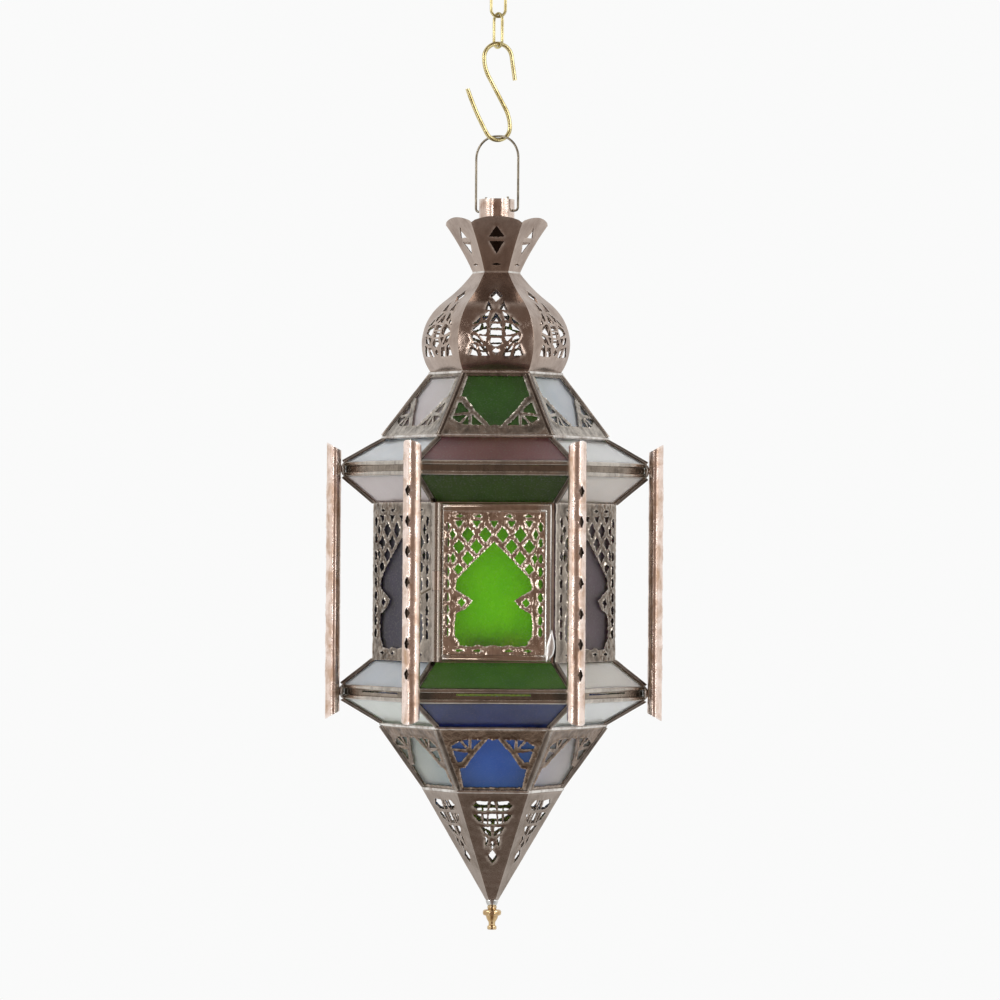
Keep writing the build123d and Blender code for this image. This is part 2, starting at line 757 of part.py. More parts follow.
save("door_frame", door_frame())
save("door_plate", [door_plate()])
save("door_pane", [leaf_box(panel_left, panel_right, panel_bottom, panel_top, sheet_t, glass_back)])
save("door_hinge_stile", [door_hinge_stile()])
save("door_tongue", [door_tongue()])
save("hinge_knuckle", [hinge_knuckle()])
save("hinge_tie_wire", [tie_wire()])
save("hinge_pin", [hinge_pin()])

save("candle_bar", [candle_bar()])
save("candle_cup", [candle_cup()])
save("pyramid_sheets", around(pyramid_sheet()))
save("tip_cap", [tip_cap()])
save("finial", [finial()])
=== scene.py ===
import random
from collections import namedtuple
from math import cos, hypot, pi, radians, sin, sqrt, tan

import bmesh
import bpy
import numpy as np
from mathutils import Matrix, Quaternion, Vector, noise
from mathutils.geometry import delaunay_2d_cdt
from mathutils.kdtree import KDTree


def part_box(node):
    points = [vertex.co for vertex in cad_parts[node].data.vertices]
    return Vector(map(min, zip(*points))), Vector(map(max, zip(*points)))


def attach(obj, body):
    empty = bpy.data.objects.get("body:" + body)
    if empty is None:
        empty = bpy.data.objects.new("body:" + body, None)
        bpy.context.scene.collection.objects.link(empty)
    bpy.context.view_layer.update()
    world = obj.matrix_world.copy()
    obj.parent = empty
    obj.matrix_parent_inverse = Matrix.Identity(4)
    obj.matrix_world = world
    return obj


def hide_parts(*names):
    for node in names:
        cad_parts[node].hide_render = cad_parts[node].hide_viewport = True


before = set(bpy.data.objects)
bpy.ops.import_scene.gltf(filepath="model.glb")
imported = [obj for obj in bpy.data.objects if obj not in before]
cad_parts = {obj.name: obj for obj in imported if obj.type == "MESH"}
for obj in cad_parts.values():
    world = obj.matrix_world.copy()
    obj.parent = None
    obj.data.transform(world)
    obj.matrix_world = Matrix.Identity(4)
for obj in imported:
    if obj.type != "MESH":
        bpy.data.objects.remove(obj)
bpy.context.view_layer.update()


# Studio: a white room that is dim and warm on the viewer's side, so that the front facets stay brown and the
# side facets catch the white walls. Soft boxes stand at both sides, tall strips nearer the front, and a pale
# round floor lies far below the hanging lantern.
def add_node(tree, kind, inputs=None, **settings):
    """Node of a kind, with its settings, and its inputs set to values or joined to other sockets."""
    node = tree.nodes.new(kind)
    for key, value in settings.items():
        setattr(node, key, value)
    for key, value in (inputs or {}).items():
        if isinstance(value, bpy.types.NodeSocket):
            tree.links.new(value, node.inputs[key])
        else:
            node.inputs[key].default_value = value
    return node


def math_of(tree, operation, *values, **settings):
    """Result of a math node on values or sockets."""
    node = add_node(tree, "ShaderNodeMath", dict(enumerate(values)), operation=operation, **settings)
    return node.outputs[0]


def range_of(tree, value, low, high, to_low=0.0, to_high=1.0, **settings):
    """A value stretched from one range to another and held inside that."""
    ends = {"From Min": low, "From Max": high, "To Min": to_low, "To Max": to_high}
    return add_node(tree, "ShaderNodeMapRange", {"Value": value, **ends}, **settings).outputs[0]


def blend_of(tree, share, first, second, **settings):
    """Colour on the way from a first to a second one, by a share."""
    mix = add_node(tree, "ShaderNodeMix", {0: share, 6: first, 7: second}, data_type="RGBA", **settings)
    return mix.outputs[2]


scene = bpy.context.scene
scene.view_settings.view_transform = "Standard"

camera_distance = 3.15
camera_rise = -0.3967
aim_height = -0.3617
camera_side = 0.0036
view_angle = radians(12.68)
camera_roll = radians(0.40)
lens = bpy.data.cameras.new("camera")
lens.angle = view_angle
camera = bpy.data.objects.new("camera", lens)
scene.collection.objects.link(camera)
camera.location = (camera_side, -camera_distance, camera_rise)
sight = Vector((camera_side, 0, aim_height)) - camera.location
camera.rotation_mode = "QUATERNION"
camera.rotation_quaternion = sight.to_track_quat("-Z", "Y") @ Quaternion((0, 0, 1), camera_roll)
scene.camera = camera

backdrop_white = (0.955, 0.957, 0.955, 1)
room_white = (1.0, 0.995, 0.985, 1)
viewer_side = (0.26, 0.19, 0.155, 1)
side_pull = 0.9
ceiling_pull = -0.18
dim_until = -0.45
white_from = 0.15
room = bpy.data.worlds.new("white_room")
room.use_nodes = True
scene.world = room
walls = room.node_tree
walls.nodes.clear()
heading = add_node(walls, "ShaderNodeTexCoord").outputs["Generated"]
across, away, up = add_node(walls, "ShaderNodeSeparateXYZ", {0: heading}).outputs
turned_away = math_of(walls, "MULTIPLY_ADD", math_of(walls, "ABSOLUTE", across), side_pull, away)
turned_away = math_of(walls, "MULTIPLY_ADD", up, ceiling_pull, turned_away)
white_share = range_of(walls, turned_away, dim_until, white_from, interpolation_type="SMOOTHSTEP")
wall_light = blend_of(walls, white_share, viewer_side, room_white)
around_room = add_node(walls, "ShaderNodeBackground", {"Color": wall_light, "Strength": 1.0})
behind = add_node(walls, "ShaderNodeBackground", {"Color": backdrop_white, "Strength": 1.0})
seen = add_node(walls, "ShaderNodeLightPath").outputs["Is Camera Ray"]
shown_room = add_node(walls, "ShaderNodeMixShader", {
    0: seen, 1: around_room.outputs[0], 2: behind.outputs[0],
})
add_node(walls, "ShaderNodeOutputWorld", {"Surface": shown_room.outputs[0]})

lamp_reach = 1.9
lamps = [
    ("soft_box_left", -61, 0.80, 0.80, 9.0, 0.80),
    ("soft_box_right", 61, 0.80, 0.80, 9.0, 0.80),
    ("strip_box_left", -30, 0.11, 1.50, 5.0, 0.05),
    ("strip_box_right", 37, 0.22, 1.50, 4.5, 0.05),
    ("strip_box_above", 0, 1.20, 0.06, 0.7, 1.90),
]
for name, azimuth, width, height, power, rise in lamps:
    lamp_shape = bpy.data.lights.new(name, "AREA")
    lamp_shape.shape = "RECTANGLE"
    lamp_shape.size = width
    lamp_shape.size_y = height
    lamp_shape.energy = power
    lamp = bpy.data.objects.new(name, lamp_shape)
    scene.collection.objects.link(lamp)
    turn = radians(azimuth)
    lamp.location = (lamp_reach * sin(turn), -lamp_reach * cos(turn), aim_height + rise)
    lamp.rotation_euler = (Vector((0, 0, aim_height)) - lamp.location).to_track_quat("-Z", "Y").to_euler()

floor_drop = 3.5
floor_reach = 1.2
floor_white = (0.86, 0.86, 0.85, 1)
floor_shape = bmesh.new()
under = Matrix.Translation((0, 0, -floor_drop))
bmesh.ops.create_circle(floor_shape, cap_ends=True, segments=96, radius=floor_reach, matrix=under)
floor_mesh = bpy.data.meshes.new("floor")
floor_shape.to_mesh(floor_mesh)
floor_paint = bpy.data.materials.new("floor_paint")
floor_paint.use_nodes = True
floor_coat = floor_paint.node_tree.nodes["Principled BSDF"].inputs
floor_coat["Base Color"].default_value = floor_white
floor_coat["Roughness"].default_value = 0.8
floor_mesh.materials.append(floor_paint)
floor = bpy.data.objects.new("floor", floor_mesh)
scene.collection.objects.link(floor)


# Chain links and S-hook: drawn brass wire, bent by hand and lightly tarnished.
# They hang in each other and are not fixed.
def shader_group(name, inputs, outputs):
    """Shader group with named sockets, its group input's sockets and its group output's sockets."""
    tree = bpy.data.node_groups.new(name, "ShaderNodeTree")
    for label, kind, value in inputs:
        tree.interface.new_socket(label, in_out="INPUT", socket_type=kind).default_value = value
    for label, kind in outputs:
        tree.interface.new_socket(label, in_out="OUTPUT", socket_type=kind)
    return tree, add_node(tree, "NodeGroupInput").outputs, add_node(tree, "NodeGroupOutput").inputs


def object_place(tree):
    return add_node(tree, "ShaderNodeTexCoord").outputs["Object"]


def grain_of(tree, place, scale, detail, **more):
    """Noise at a place, of a scale and detail."""
    sizes = {"Vector": place, "Scale": scale, "Detail": detail}
    return add_node(tree, "ShaderNodeTexNoise", {**sizes, **more}).outputs["Fac"]


tarnish, given, result = shader_group("tarnish", [
    ("Dull", "NodeSocketColor", (0.1, 0.06, 0.04, 1)),
    ("Bright", "NodeSocketColor", (0.4, 0.3, 0.2, 1)),
    ("Rubbed", "NodeSocketColor", (0.7, 0.6, 0.5, 1)),
    ("Patch Scale", "NodeSocketFloat", 60.0),
    ("Edge Wear", "NodeSocketFloat", 0.6),
    ("Smoothest", "NodeSocketFloat", 0.2),
    ("Roughest", "NodeSocketFloat", 0.45),
], [("Color", "NodeSocketColor"), ("Roughness", "NodeSocketFloat"), ("Height", "NodeSocketFloat")])
cloud_range = (0.36, 0.66)
ridge_range = (0.52, 0.60)
matt_range = (0.3, 0.7)
streak_stretch = (1.0, 1.0, 0.12)
streak_scale = 420.0
streak_cut = 0.30
speck_scale = 900.0
speck_share = 0.25
place = object_place(tarnish)
patches = grain_of(tarnish, place, given["Patch Scale"], 5.0, Roughness=0.62, Distortion=0.4)
cloud = range_of(tarnish, patches, *cloud_range)
drawn_out = add_node(tarnish, "ShaderNodeMapping", {"Vector": place, "Scale": streak_stretch}).outputs[0]
streaks = grain_of(tarnish, drawn_out, streak_scale, 3.0)
specks = grain_of(tarnish, place, speck_scale, 4.0)
ridge = add_node(tarnish, "ShaderNodeNewGeometry").outputs["Pointiness"]
worn = math_of(tarnish, "MULTIPLY", range_of(tarnish, ridge, *ridge_range), given["Edge Wear"])
spread = math_of(tarnish, "SUBTRACT", math_of(tarnish, "ADD", cloud, streaks), streak_cut, use_clamp=True)
base = blend_of(tarnish, spread, given["Dull"], given["Bright"])
tarnish.links.new(blend_of(tarnish, worn, base, given["Rubbed"]), result["Color"])
matt = range_of(tarnish, patches, *matt_range, given["Roughest"], given["Smoothest"])
tarnish.links.new(matt, result["Roughness"])
tarnish.links.new(math_of(tarnish, "MULTIPLY_ADD", specks, speck_share, patches), result["Height"])


def metal(name, dull, bright, rubbed, patch_scale, edge_wear, rough, dent_depth):
    """Tarnished metal: the group's colours and roughness on a full metal, with shallow dents."""
    material = bpy.data.materials.new(name)
    material.use_nodes = True
    tree = material.node_tree
    surface = tree.nodes["Principled BSDF"]
    surface.inputs["Metallic"].default_value = 1.0
    aged = add_node(tree, "ShaderNodeGroup", {
        "Dull": (*dull, 1), "Bright": (*bright, 1), "Rubbed": (*rubbed, 1), "Patch Scale": patch_scale,
        "Edge Wear": edge_wear, "Smoothest": rough[0], "Roughest": rough[1],
    }, node_tree=tarnish)
    bump = add_node(tree, "ShaderNodeBump", {
        "Height": aged.outputs["Height"], "Strength": 0.5, "Distance": dent_depth,
    })
    tree.links.new(aged.outputs["Color"], surface.inputs["Base Color"])
    tree.links.new(aged.outputs["Roughness"], surface.inputs["Roughness"])
    tree.links.new(bump.outputs[0], surface.inputs["Normal"])
    return material


def finish_nodes(material, *names):
    """Gives CAD pieces that keep their own shape a finish."""
    for name in names:
        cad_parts[name].data.materials[0] = material


hanging_brass = metal(
    "hanging_brass", dull=(0.36, 0.29, 0.12), bright=(0.62, 0.54, 0.28), rubbed=(0.85, 0.78, 0.52),
    patch_scale=120.0, edge_wear=0.3, rough=(0.16, 0.34), dent_depth=0.0002,
)
finish_nodes(hanging_brass, "chain_link_upper", "chain_link_lower", "s_hook")

# Bail: dull drawn wire, sprung into two holes of the collar, its ends turned up inside.
# The same wire makes the pin and the tie of the door's hinge.
bail_wire = metal(
    "bail_wire", dull=(0.10, 0.085, 0.06), bright=(0.30, 0.26, 0.20), rubbed=(0.5, 0.45, 0.36),
    patch_scale=150.0, edge_wear=0.3, rough=(0.25, 0.45), dent_depth=0.0002,
)
finish_nodes(bail_wire, "bail", "hinge_pin", "hinge_tie_wire")


# Collar: a strip of bright copper rolled into a tube, its edges left to meet at the back.
# It stands on the neck ring and has a hole on each side for the bail.
def evenly(outline, spacing):
    """Closed outline with points along it about a spacing apart."""
    spaced = []
    for start, end in zip(outline, outline[1:] + outline[:1]):
        steps = max(1, round(hypot(end[0] - start[0], end[1] - start[1]) / spacing))
        for step in range(steps):
            along = step / steps
            spaced.append((start[0] + (end[0] - start[0]) * along, start[1] + (end[1] - start[1]) * along))
    return spaced


def oblong(left, right, low, high):
    return [(left, low), (right, low), (right, high), (left, high)]


def spot_oval(x, y, half_w, half_h, corners):
    turns = [2 * pi * step / corners for step in range(corners)]
    return [(x + half_w * cos(turn), y + half_h * sin(turn)) for turn in turns]


def within(places, outline):
    """Which of the places lie inside a closed outline."""
    x, y = places.T
    odd = np.zeros(len(places), bool)
    for (x0, y0), (x1, y1) in zip(outline, outline[1:] + outline[:1]):
        if y0 != y1:
            odd ^= ((y0 > y) != (y1 > y)) & (x < x0 + (x1 - x0) * (y - y0) / (y1 - y0))
    return odd


def open_edges(faces):
    """Edges that only one face has, in that face's turning sense."""
    used = {(a, b) for face in faces for a, b in zip(face, face[1:] + face[:1])}
    return [(a, b) for a, b in used if (b, a) not in used]


cut_spacing = 0.6
edge_room = 0.55
weld_share = 1e-4
buckle_height = 0.00012
buckle_scale = 90.0
hammer_scale = 420.0
lip_width = 0.0011
lip_curve = 1.5
burr_least = 0.65
burr_swing = 0.7
burr_scale = 700.0


def pierced_sheet(outline, holes, spacing, thickness, lip=0.0, ragged=0.0, hammered=0.0, seed=1):
    """Blank punched from behind, as points (x, y, height) and faces. Its holes have ragged raised lips."""
    chance = random.Random(seed)
    loops = [evenly(outline, spacing)]
    for hole in holes:
        cut = evenly(hole, spacing * cut_spacing)
        loops.append([(x + chance.gauss(0, ragged), y + chance.gauss(0, ragged)) for x, y in cut])
    cuts = [place for loop in loops[1:] for place in loop]
    edge_tree = KDTree(len(loops[0]) + len(cuts))
    hole_tree = KDTree(max(1, len(cuts)))
    for number, (x, y) in enumerate(loops[0] + cuts):
        edge_tree.insert((x, y, 0), number)
    for number, (x, y) in enumerate(cuts):
        hole_tree.insert((x, y, 0), number)
    edge_tree.balance()
    hole_tree.balance()
    low = np.min(outline, axis=0)
    high = np.max(outline, axis=0)
    rows = np.arange(low[1] + spacing / 2, high[1], spacing)
    grid = np.array([
        (x + (row % 2) * spacing / 2, y)
        for row, y in enumerate(rows) for x in np.arange(low[0] + spacing / 4, high[0], spacing)
    ])
    kept = within(grid, loops[0])
    for loop in loops[1:]:
        kept &= ~within(grid, loop)
    inner = [(x, y) for x, y in grid[kept] if edge_tree.find((x, y, 0))[2] > spacing * edge_room]
    corners = [Vector(place) for loop in loops for place in loop] + [Vector(place) for place in inner]
    edges = []
    first = 0
    for loop in loops:
        edges += [(first + i, first + (i + 1) % len(loop)) for i in range(len(loop))]
        first += len(loop)
    flat, _, triangles, *_ = delaunay_2d_cdt(corners, edges, [], 0, spacing * weld_share)
    flat = np.array(flat)
    triangles = np.array(triangles)
    middles = flat[triangles].mean(axis=1)
    solid = within(middles, loops[0])
    for loop in loops[1:]:
        solid &= ~within(middles, loop)
    triangles = triangles[solid].tolist()
    heights = []
    for x, y in flat:
        height = buckle_height * noise.noise(Vector((x, y, seed)) * buckle_scale)
        height += hammered * noise.noise(Vector((x, y, seed)) * hammer_scale)
        if cuts and lip:
            near = hole_tree.find((x, y, 0))[2]
            burr = burr_least + burr_swing * noise.noise(Vector((x, y, seed + 0.5)) * burr_scale)
            height += lip * max(0.0, 1.0 - near / lip_width) ** lip_curve * burr
        heights.append(height)
    count = len(flat)
    points = [(x, y, h) for (x, y), h in zip(flat, heights)]
    points += [(x, y, h - thickness) for (x, y), h in zip(flat, heights)]
    faces = triangles + [[v + count for v in reversed(face)] for face in triangles]
    faces += [[a + count, b + count, b, a] for a, b in open_edges(triangles)]
    return points, faces


geometry_kind = "NodeSocketGeometry"
around_lantern = bpy.data.node_groups.new("around_lantern", "GeometryNodeTree")
for label, kind in (
    ("Geometry", geometry_kind), ("Copies", "NodeSocketInt"), ("First Facet", "NodeSocketInt"),
    ("Finish", "NodeSocketMaterial"),
):
    around_lantern.interface.new_socket(label, in_out="INPUT", socket_type=kind)
around_lantern.interface.new_socket("Geometry", in_out="OUTPUT", socket_type=geometry_kind)
given = add_node(around_lantern, "NodeGroupInput").outputs
spots = add_node(around_lantern, "GeometryNodeMeshLine", {"Count": given["Copies"], "Offset": (0, 0, 0)})
number = add_node(around_lantern, "GeometryNodeInputIndex").outputs[0]
facet = math_of(around_lantern, "ADD", number, given["First Facet"])
turn = math_of(around_lantern, "MULTIPLY", facet, pi / 3)
turns = add_node(around_lantern, "ShaderNodeCombineXYZ", {"Z": turn}).outputs[0]
heading = add_node(around_lantern, "FunctionNodeEulerToRotation", {0: turns}).outputs[0]
copies = add_node(around_lantern, "GeometryNodeInstanceOnPoints", {
    "Points": spots.outputs[0], "Instance": given["Geometry"], "Rotation": heading,
})
real = add_node(around_lantern, "GeometryNodeRealizeInstances", {"Geometry": copies.outputs[0]})
finished = add_node(around_lantern, "GeometryNodeSetMaterial", {
    "Geometry": real.outputs[0], "Material": given["Finish"],
})
add_node(around_lantern, "NodeGroupOutput", {"Geometry": finished.outputs[0]})


def socket_id(tree, label):
    inputs = [item for item in tree.interface.items_tree if item.in_out == "INPUT"]
    return next(item.identifier for item in inputs if item.name == label)


def plain_piece(name, source, tree, settings, crease):
    """Runs a Geometry Nodes tree on a mesh and keeps the result as a plain mesh piece."""
    draft = bpy.data.objects.new(f"{name}_draft", source)
    scene.collection.objects.link(draft)
    modifier = draft.modifiers.new("nodes", "NODES")
    modifier.node_group = tree
    for label, value in settings.items():
        modifier[socket_id(tree, label)] = value
    evaluated = draft.evaluated_get(bpy.context.evaluated_depsgraph_get())
    mesh = bpy.data.meshes.new_from_object(evaluated)
    bpy.data.objects.remove(draft)
    mesh.name = name
    mesh.shade_smooth()
    mesh.set_sharp_from_angle(angle=crease)
    piece = bpy.data.objects.new(name, mesh)
    scene.collection.objects.link(piece)
    return piece


def stand_in(piece, slot, body, *nodes):
    """The piece moves with a body and is shown instead of CAD nodes. Its slot is not used."""
    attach(piece, body)
    if nodes:
        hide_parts(*nodes)


soft_crease = radians(50)


def set_around(
    node, points, faces, material, slot, copies=6, first=0, body="lantern", crease=soft_crease, part=None,
):
    """Piece on facet 0, repeated round the axis, in place of the CAD node, or as a further part of it."""
    mesh = bpy.data.meshes.new(node)
    mesh.from_pydata(points, [], faces)
    settings = {"Copies": copies, "First Facet": first, "Finish": material}
    piece = plain_piece(f"{node}_{part or 'look'}", mesh, around_lantern, settings, crease)
    stand_in(piece, slot, body, *(() if part else (node,)))


# Colour of the painted shade laid over a finish below a height.
painted_shade_dark = (0.035, 0.025, 0.02, 1)


def shade_below_height(material, foot, clear):
    """Lays a painted shade over a finish below a height, fading out above it."""
    tree = material.node_tree
    target = tree.nodes["Principled BSDF"].inputs["Base Color"]
    colour = target.links[0].from_socket
    height = add_node(tree, "ShaderNodeSeparateXYZ", {0: object_place(tree)}).outputs["Z"]
    lit_share = range_of(tree, height, foot, clear)
    tree.links.new(blend_of(tree, lit_share, painted_shade_dark, colour), target)


copper_t = 0.0008
collar_low, collar_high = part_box("collar_tube")
collar_r = collar_high.x
collar_height = collar_high.z - collar_low.z
bail_hole_r = 0.0011
bail_hole_drop = 0.0081
bail_turn = radians(-30)
collar_half = collar_r * pi
collar_sunk = 0.0002
shade_foot, shade_clear = -0.002, 0.001
bail_holes = []
for at in (bail_turn, bail_turn + pi):
    hole_x = (at if at < pi else at - 2 * pi) * collar_r
    bail_holes.append(spot_oval(hole_x, collar_height - bail_hole_drop, bail_hole_r, bail_hole_r, 12))
collar_blank = oblong(-collar_half, collar_half, 0, collar_height)
points, faces = pierced_sheet(collar_blank, bail_holes, spacing=0.002, thickness=copper_t, lip=0.0002)
rolled = []
for x, y, h in points:
    reach = collar_r - collar_sunk + h
    rolled.append((reach * cos(x / collar_r), reach * sin(x / collar_r), collar_low.z + y))
collar_copper = metal(
    "collar_copper", dull=(0.30, 0.17, 0.11), bright=(0.66, 0.54, 0.47), rubbed=(0.95, 0.88, 0.82),
    patch_scale=80.0, edge_wear=0.5, rough=(0.10, 0.24), dent_depth=0.0005,
)
crown_low, crown_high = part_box("crown_petals")
# Painted shade: the collar is darkened below the tips of the crown, where it stands inside the petals.
shade_below_height(collar_copper, crown_high.z + shade_foot, crown_high.z + shade_clear)
set_around("collar_tube", rolled, faces, collar_copper, "bright_copper", copies=1)


# Crown: six petals cut from antiqued copper sheet, flared by hand and punched with two triangles and
# a slot. They are soldered to the neck ring at the waist.
def circle_through(a, b, c):
    """Centre of the circle through three (apothem, z) points, and its radius."""
    m = Matrix(((b[0] - a[0], b[1] - a[1]), (c[0] - a[0], c[1] - a[1])))
    square = Vector([(p[0] ** 2 - a[0] ** 2 + p[1] ** 2 - a[1] ** 2) / 2 for p in (b, c)])
    centre = m.inverted() @ square
    return centre, (Vector(a) - centre).length


def spot_triangle(x, y, half_w, half_h):
    return [(x - half_w, y - half_h), (x + half_w, y - half_h), (x, y + half_h)]


def spot_diamond(x, y, half_w, half_h):
    return [(x - half_w, y), (x, y - half_h), (x + half_w, y), (x, y + half_h)]


mitre = tan(pi / 6)
flat = cos(pi / 6)
seam = 0.0001
antique_copper = metal(
    "antique_copper", dull=(0.26, 0.195, 0.160), bright=(0.39, 0.315, 0.270), rubbed=(0.66, 0.55, 0.47),
    patch_scale=45.0, edge_wear=0.3, rough=(0.16, 0.27), dent_depth=0.0003,
)
waist_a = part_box("neck_ring")[1].y
crown_bow = 0.0016
crown_arch = 0.0044
crown_a = crown_high.y
foot = (waist_a, crown_low.z)
tip = (crown_a, crown_high.z)
bowed = ((foot[0] + tip[0] - crown_bow) / 2, (foot[1] + tip[1] + crown_bow) / 2)
flare_centre, flare_r = circle_through(foot, bowed, tip)


def crown_apothem(z):
    return flare_centre[0] - sqrt(flare_r ** 2 - (z - flare_centre[1]) ** 2)


petal_height = crown_high.z - crown_low.z
arch_half = crown_a / flat / 2
arch_r = (arch_half ** 2 + crown_arch ** 2) / (2 * crown_arch)
edge_steps = 14
right_edge = []
for step in range(edge_steps + 1):
    z = crown_low.z + (petal_height - crown_arch) * step / edge_steps
    right_edge.append((crown_apothem(z) * mitre - seam, z))
top_x = right_edge[-1][0]
top_edge = []
for step in range(1, edge_steps):
    x = top_x * (1 - 2 * step / edge_steps)
    top_edge.append((x, crown_high.z - arch_r + sqrt(arch_r ** 2 - x ** 2)))
petal = right_edge + top_edge + [(-x, z) for x, z in reversed(right_edge)]
punched = [
    spot_triangle(0, crown_low.z + petal_height * 0.725, 0.0056, 0.0037),
    spot_triangle(0, crown_low.z + petal_height * 0.430, 0.0052, -0.0042),
    spot_diamond(0, crown_low.z + petal_height * 0.123, 0.0036, 0.0009),
]
punched[1] = punched[1][::-1]
points, faces = pierced_sheet(
    petal, punched, spacing=0.0016, thickness=copper_t, lip=0.0004, ragged=0.00008, seed=2,
)
flared = [(x, -crown_apothem(min(z, crown_high.z)) - h, z) for x, z, h in points]
set_around("crown_petals", flared, faces, antique_copper, "antique_copper")

# Dome: six gores of the same sheet, full at the belly, drawn in to the waist and soldered edge to edge.
# Each is pierced with a tree of diamonds, triangles and slanting slits, the burrs left standing.
dome_low, dome_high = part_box("dome_gores")
dome_height = dome_high.z - dome_low.z
dome_foot_a = 0.046 * flat
dome_belly_a = 0.052 * flat
dome_shoulder_a = 0.0365 * flat
belly_share = 0.28
shoulder_share = 0.715
shoulder = Vector((dome_shoulder_a, dome_low.z + dome_height * shoulder_share))
belly_centre, belly_r = circle_through(
    (dome_foot_a, dome_low.z), (dome_belly_a, dome_low.z + dome_height * belly_share), tuple(shoulder),
)
outwards = (shoulder - belly_centre).normalized()
fall = shoulder - Vector((waist_a, dome_high.z))
neck_r = -fall.length_squared / (2 * outwards.dot(fall))
neck_centre = shoulder + outwards * neck_r


def dome_apothem(z):
    if z < shoulder.y:
        return belly_centre.x + sqrt(max(0.0, belly_r ** 2 - (z - belly_centre.y) ** 2))
    return neck_centre.x - sqrt(max(0.0, neck_r ** 2 - (z - neck_centre.y) ** 2))


gore_bulge = 0.0030
bulge_reach = 0.30
gore_t = 0.0012
gore_steps = 40
gore_edge = []
for step in range(gore_steps + 1):
    z = dome_low.z + dome_height * step / gore_steps
    gore_edge.append((dome_apothem(z) * mitre - seam, z))
gore = gore_edge + [(-x, z) for x, z in reversed(gore_edge)]
gore_half = dome_belly_a * mitre


def mirrored(shapes):
    """Each outline with its mirror image, kept in the same turning sense."""
    return shapes + [[(-x, y) for x, y in reversed(shape)] for shape in shapes]


def at_shares(shape, half_width, low, height):
    return [(u * half_width, low + v * height) for u, v in shape]


gore_middle_shares = [
    spot_diamond(0, 0.757, 0.175, 0.064),
    [(-0.155, 0.485), (0.155, 0.485), (0, 0.580)],
    [(-0.160, 0.412), (0.160, 0.412), (0.145, 0.460), (-0.145, 0.460)],
    [(-0.155, 0.335), (0.155, 0.335), (0.170, 0.394), (-0.170, 0.394)],
    [(-0.180, 0.268), (-0.05, 0.232), (0.05, 0.232), (0.180, 0.268), (0.12, 0.316), (-0.12, 0.316)],
    spot_diamond(0, 0.186, 0.095, 0.034),
]
gore_side_shares = [
    [(0.085, 0.608), (0.305, 0.602), (0.205, 0.700)],
    [(0.175, 0.590), (0.370, 0.540), (0.330, 0.492), (0.235, 0.505)],
    [(0.405, 0.530), (0.640, 0.452), (0.450, 0.470)],
    [
        (0.225, 0.405), (0.270, 0.472), (0.430, 0.455), (0.590, 0.425), (0.640, 0.385), (0.460, 0.360),
        (0.280, 0.350),
    ],
    [(0.225, 0.330), (0.420, 0.336), (0.300, 0.272)],
    [(0.345, 0.250), (0.500, 0.335), (0.680, 0.355), (0.580, 0.280)],
    [(0.440, 0.140), (0.735, 0.150), (0.640, 0.262), (0.540, 0.245)],
    [(0.170, 0.140), (0.370, 0.140), (0.450, 0.235), (0.270, 0.232)],
]
gore_shares = gore_middle_shares + mirrored(gore_side_shares)
gore_holes = [at_shares(shape, gore_half, dome_low.z, dome_height) for shape in gore_shares]
points, faces = pierced_sheet(
    gore, gore_holes, spacing=0.0014, thickness=gore_t, lip=0.0006, ragged=0.00014, hammered=0.00008, seed=3,
)
drawn = []
for x, z, h in points:
    reach = dome_apothem(z)
    up = (z - dome_low.z) / dome_height
    fullness = gore_bulge * max(0.0, 1 - ((up - belly_share) / bulge_reach) ** 2)
    fullness *= 1 - min(1.0, (x / (reach * mitre)) ** 2)
    drawn.append((x, -reach - h - fullness, z))
set_around("dome_gores", drawn, faces, antique_copper, "antique_copper")

# Cames, rails and belts: folded copper strips that hold the panes, run over with solder.
# A came covers each corner, a rail each change of slope, and a grooved belt each of the two widest rings.
Tier = namedtuple("Tier", "top_a foot_a top_z foot_z")
Ring = namedtuple("Ring", "a top_z foot_z")
rail_proud = 0.0007


def ring_of(node, proud=0.0):
    """Apothem, top and foot of a six-sided CAD ring."""
    low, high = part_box(node)
    return Ring(high.y - proud, high.z, low.z)


def tier_between(above, below):
    return Tier(above.a, below.a, above.foot_z, below.top_z)


roof_top = ring_of("dome_rail", rail_proud)
roof_step = ring_of("roof_step_rail", rail_proud)
high_belt = ring_of("upper_belt")
side_walls = ring_of("side_plates")
low_belt = ring_of("lower_belt")
base_step = ring_of("base_step_rail", rail_proud)
ledge = ring_of("ledge_rail", rail_proud)
cap_r, cap_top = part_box("tip_cap")[1].xz
upper_roof = tier_between(roof_top, roof_step)
lower_roof = tier_between(roof_step, high_belt)
upper_flare = tier_between(high_belt, side_walls)
body = Tier(side_walls.a, side_walls.a, side_walls.top_z, side_walls.foot_z)
lower_flare = tier_between(side_walls, low_belt)
upper_base = tier_between(low_belt, base_step)
lower_base = tier_between(base_step, ledge)
pyramid = Tier(ledge.a, cap_r * flat, ledge.foot_z, cap_top)


def on_facet(tier):
    """From a facet's own plane, x along it, y up its slope from the foot and z outwards, to facet 0."""
    along = Vector((1, 0, 0))
    up = Vector((0, tier.foot_a - tier.top_a, tier.top_z - tier.foot_z)).normalized()
    place = Matrix((along, up, along.cross(up))).transposed().to_4x4()
    place.translation = (0, -tier.foot_a, tier.foot_z)
    return place


def slope(tier):
    return hypot(tier.top_z - tier.foot_z, tier.top_a - tier.foot_a)


def between_rings(rows, size, closed=False, inside_out=False):
    """Faces from each ring of points to the next, and from the last to the first where they close."""
    faces = []
    for row in range(rows if closed else rows - 1):
        here, there = row * size, (row + 1) % rows * size
        for i in range(size):
            beside = (i + 1) % size
            face = [here + i, there + i, there + beside, here + beside]
            faces.append(face[:1] + face[:0:-1] if inside_out else face)
    return faces


waver_height = 0.00012
waver_scale = 45.0


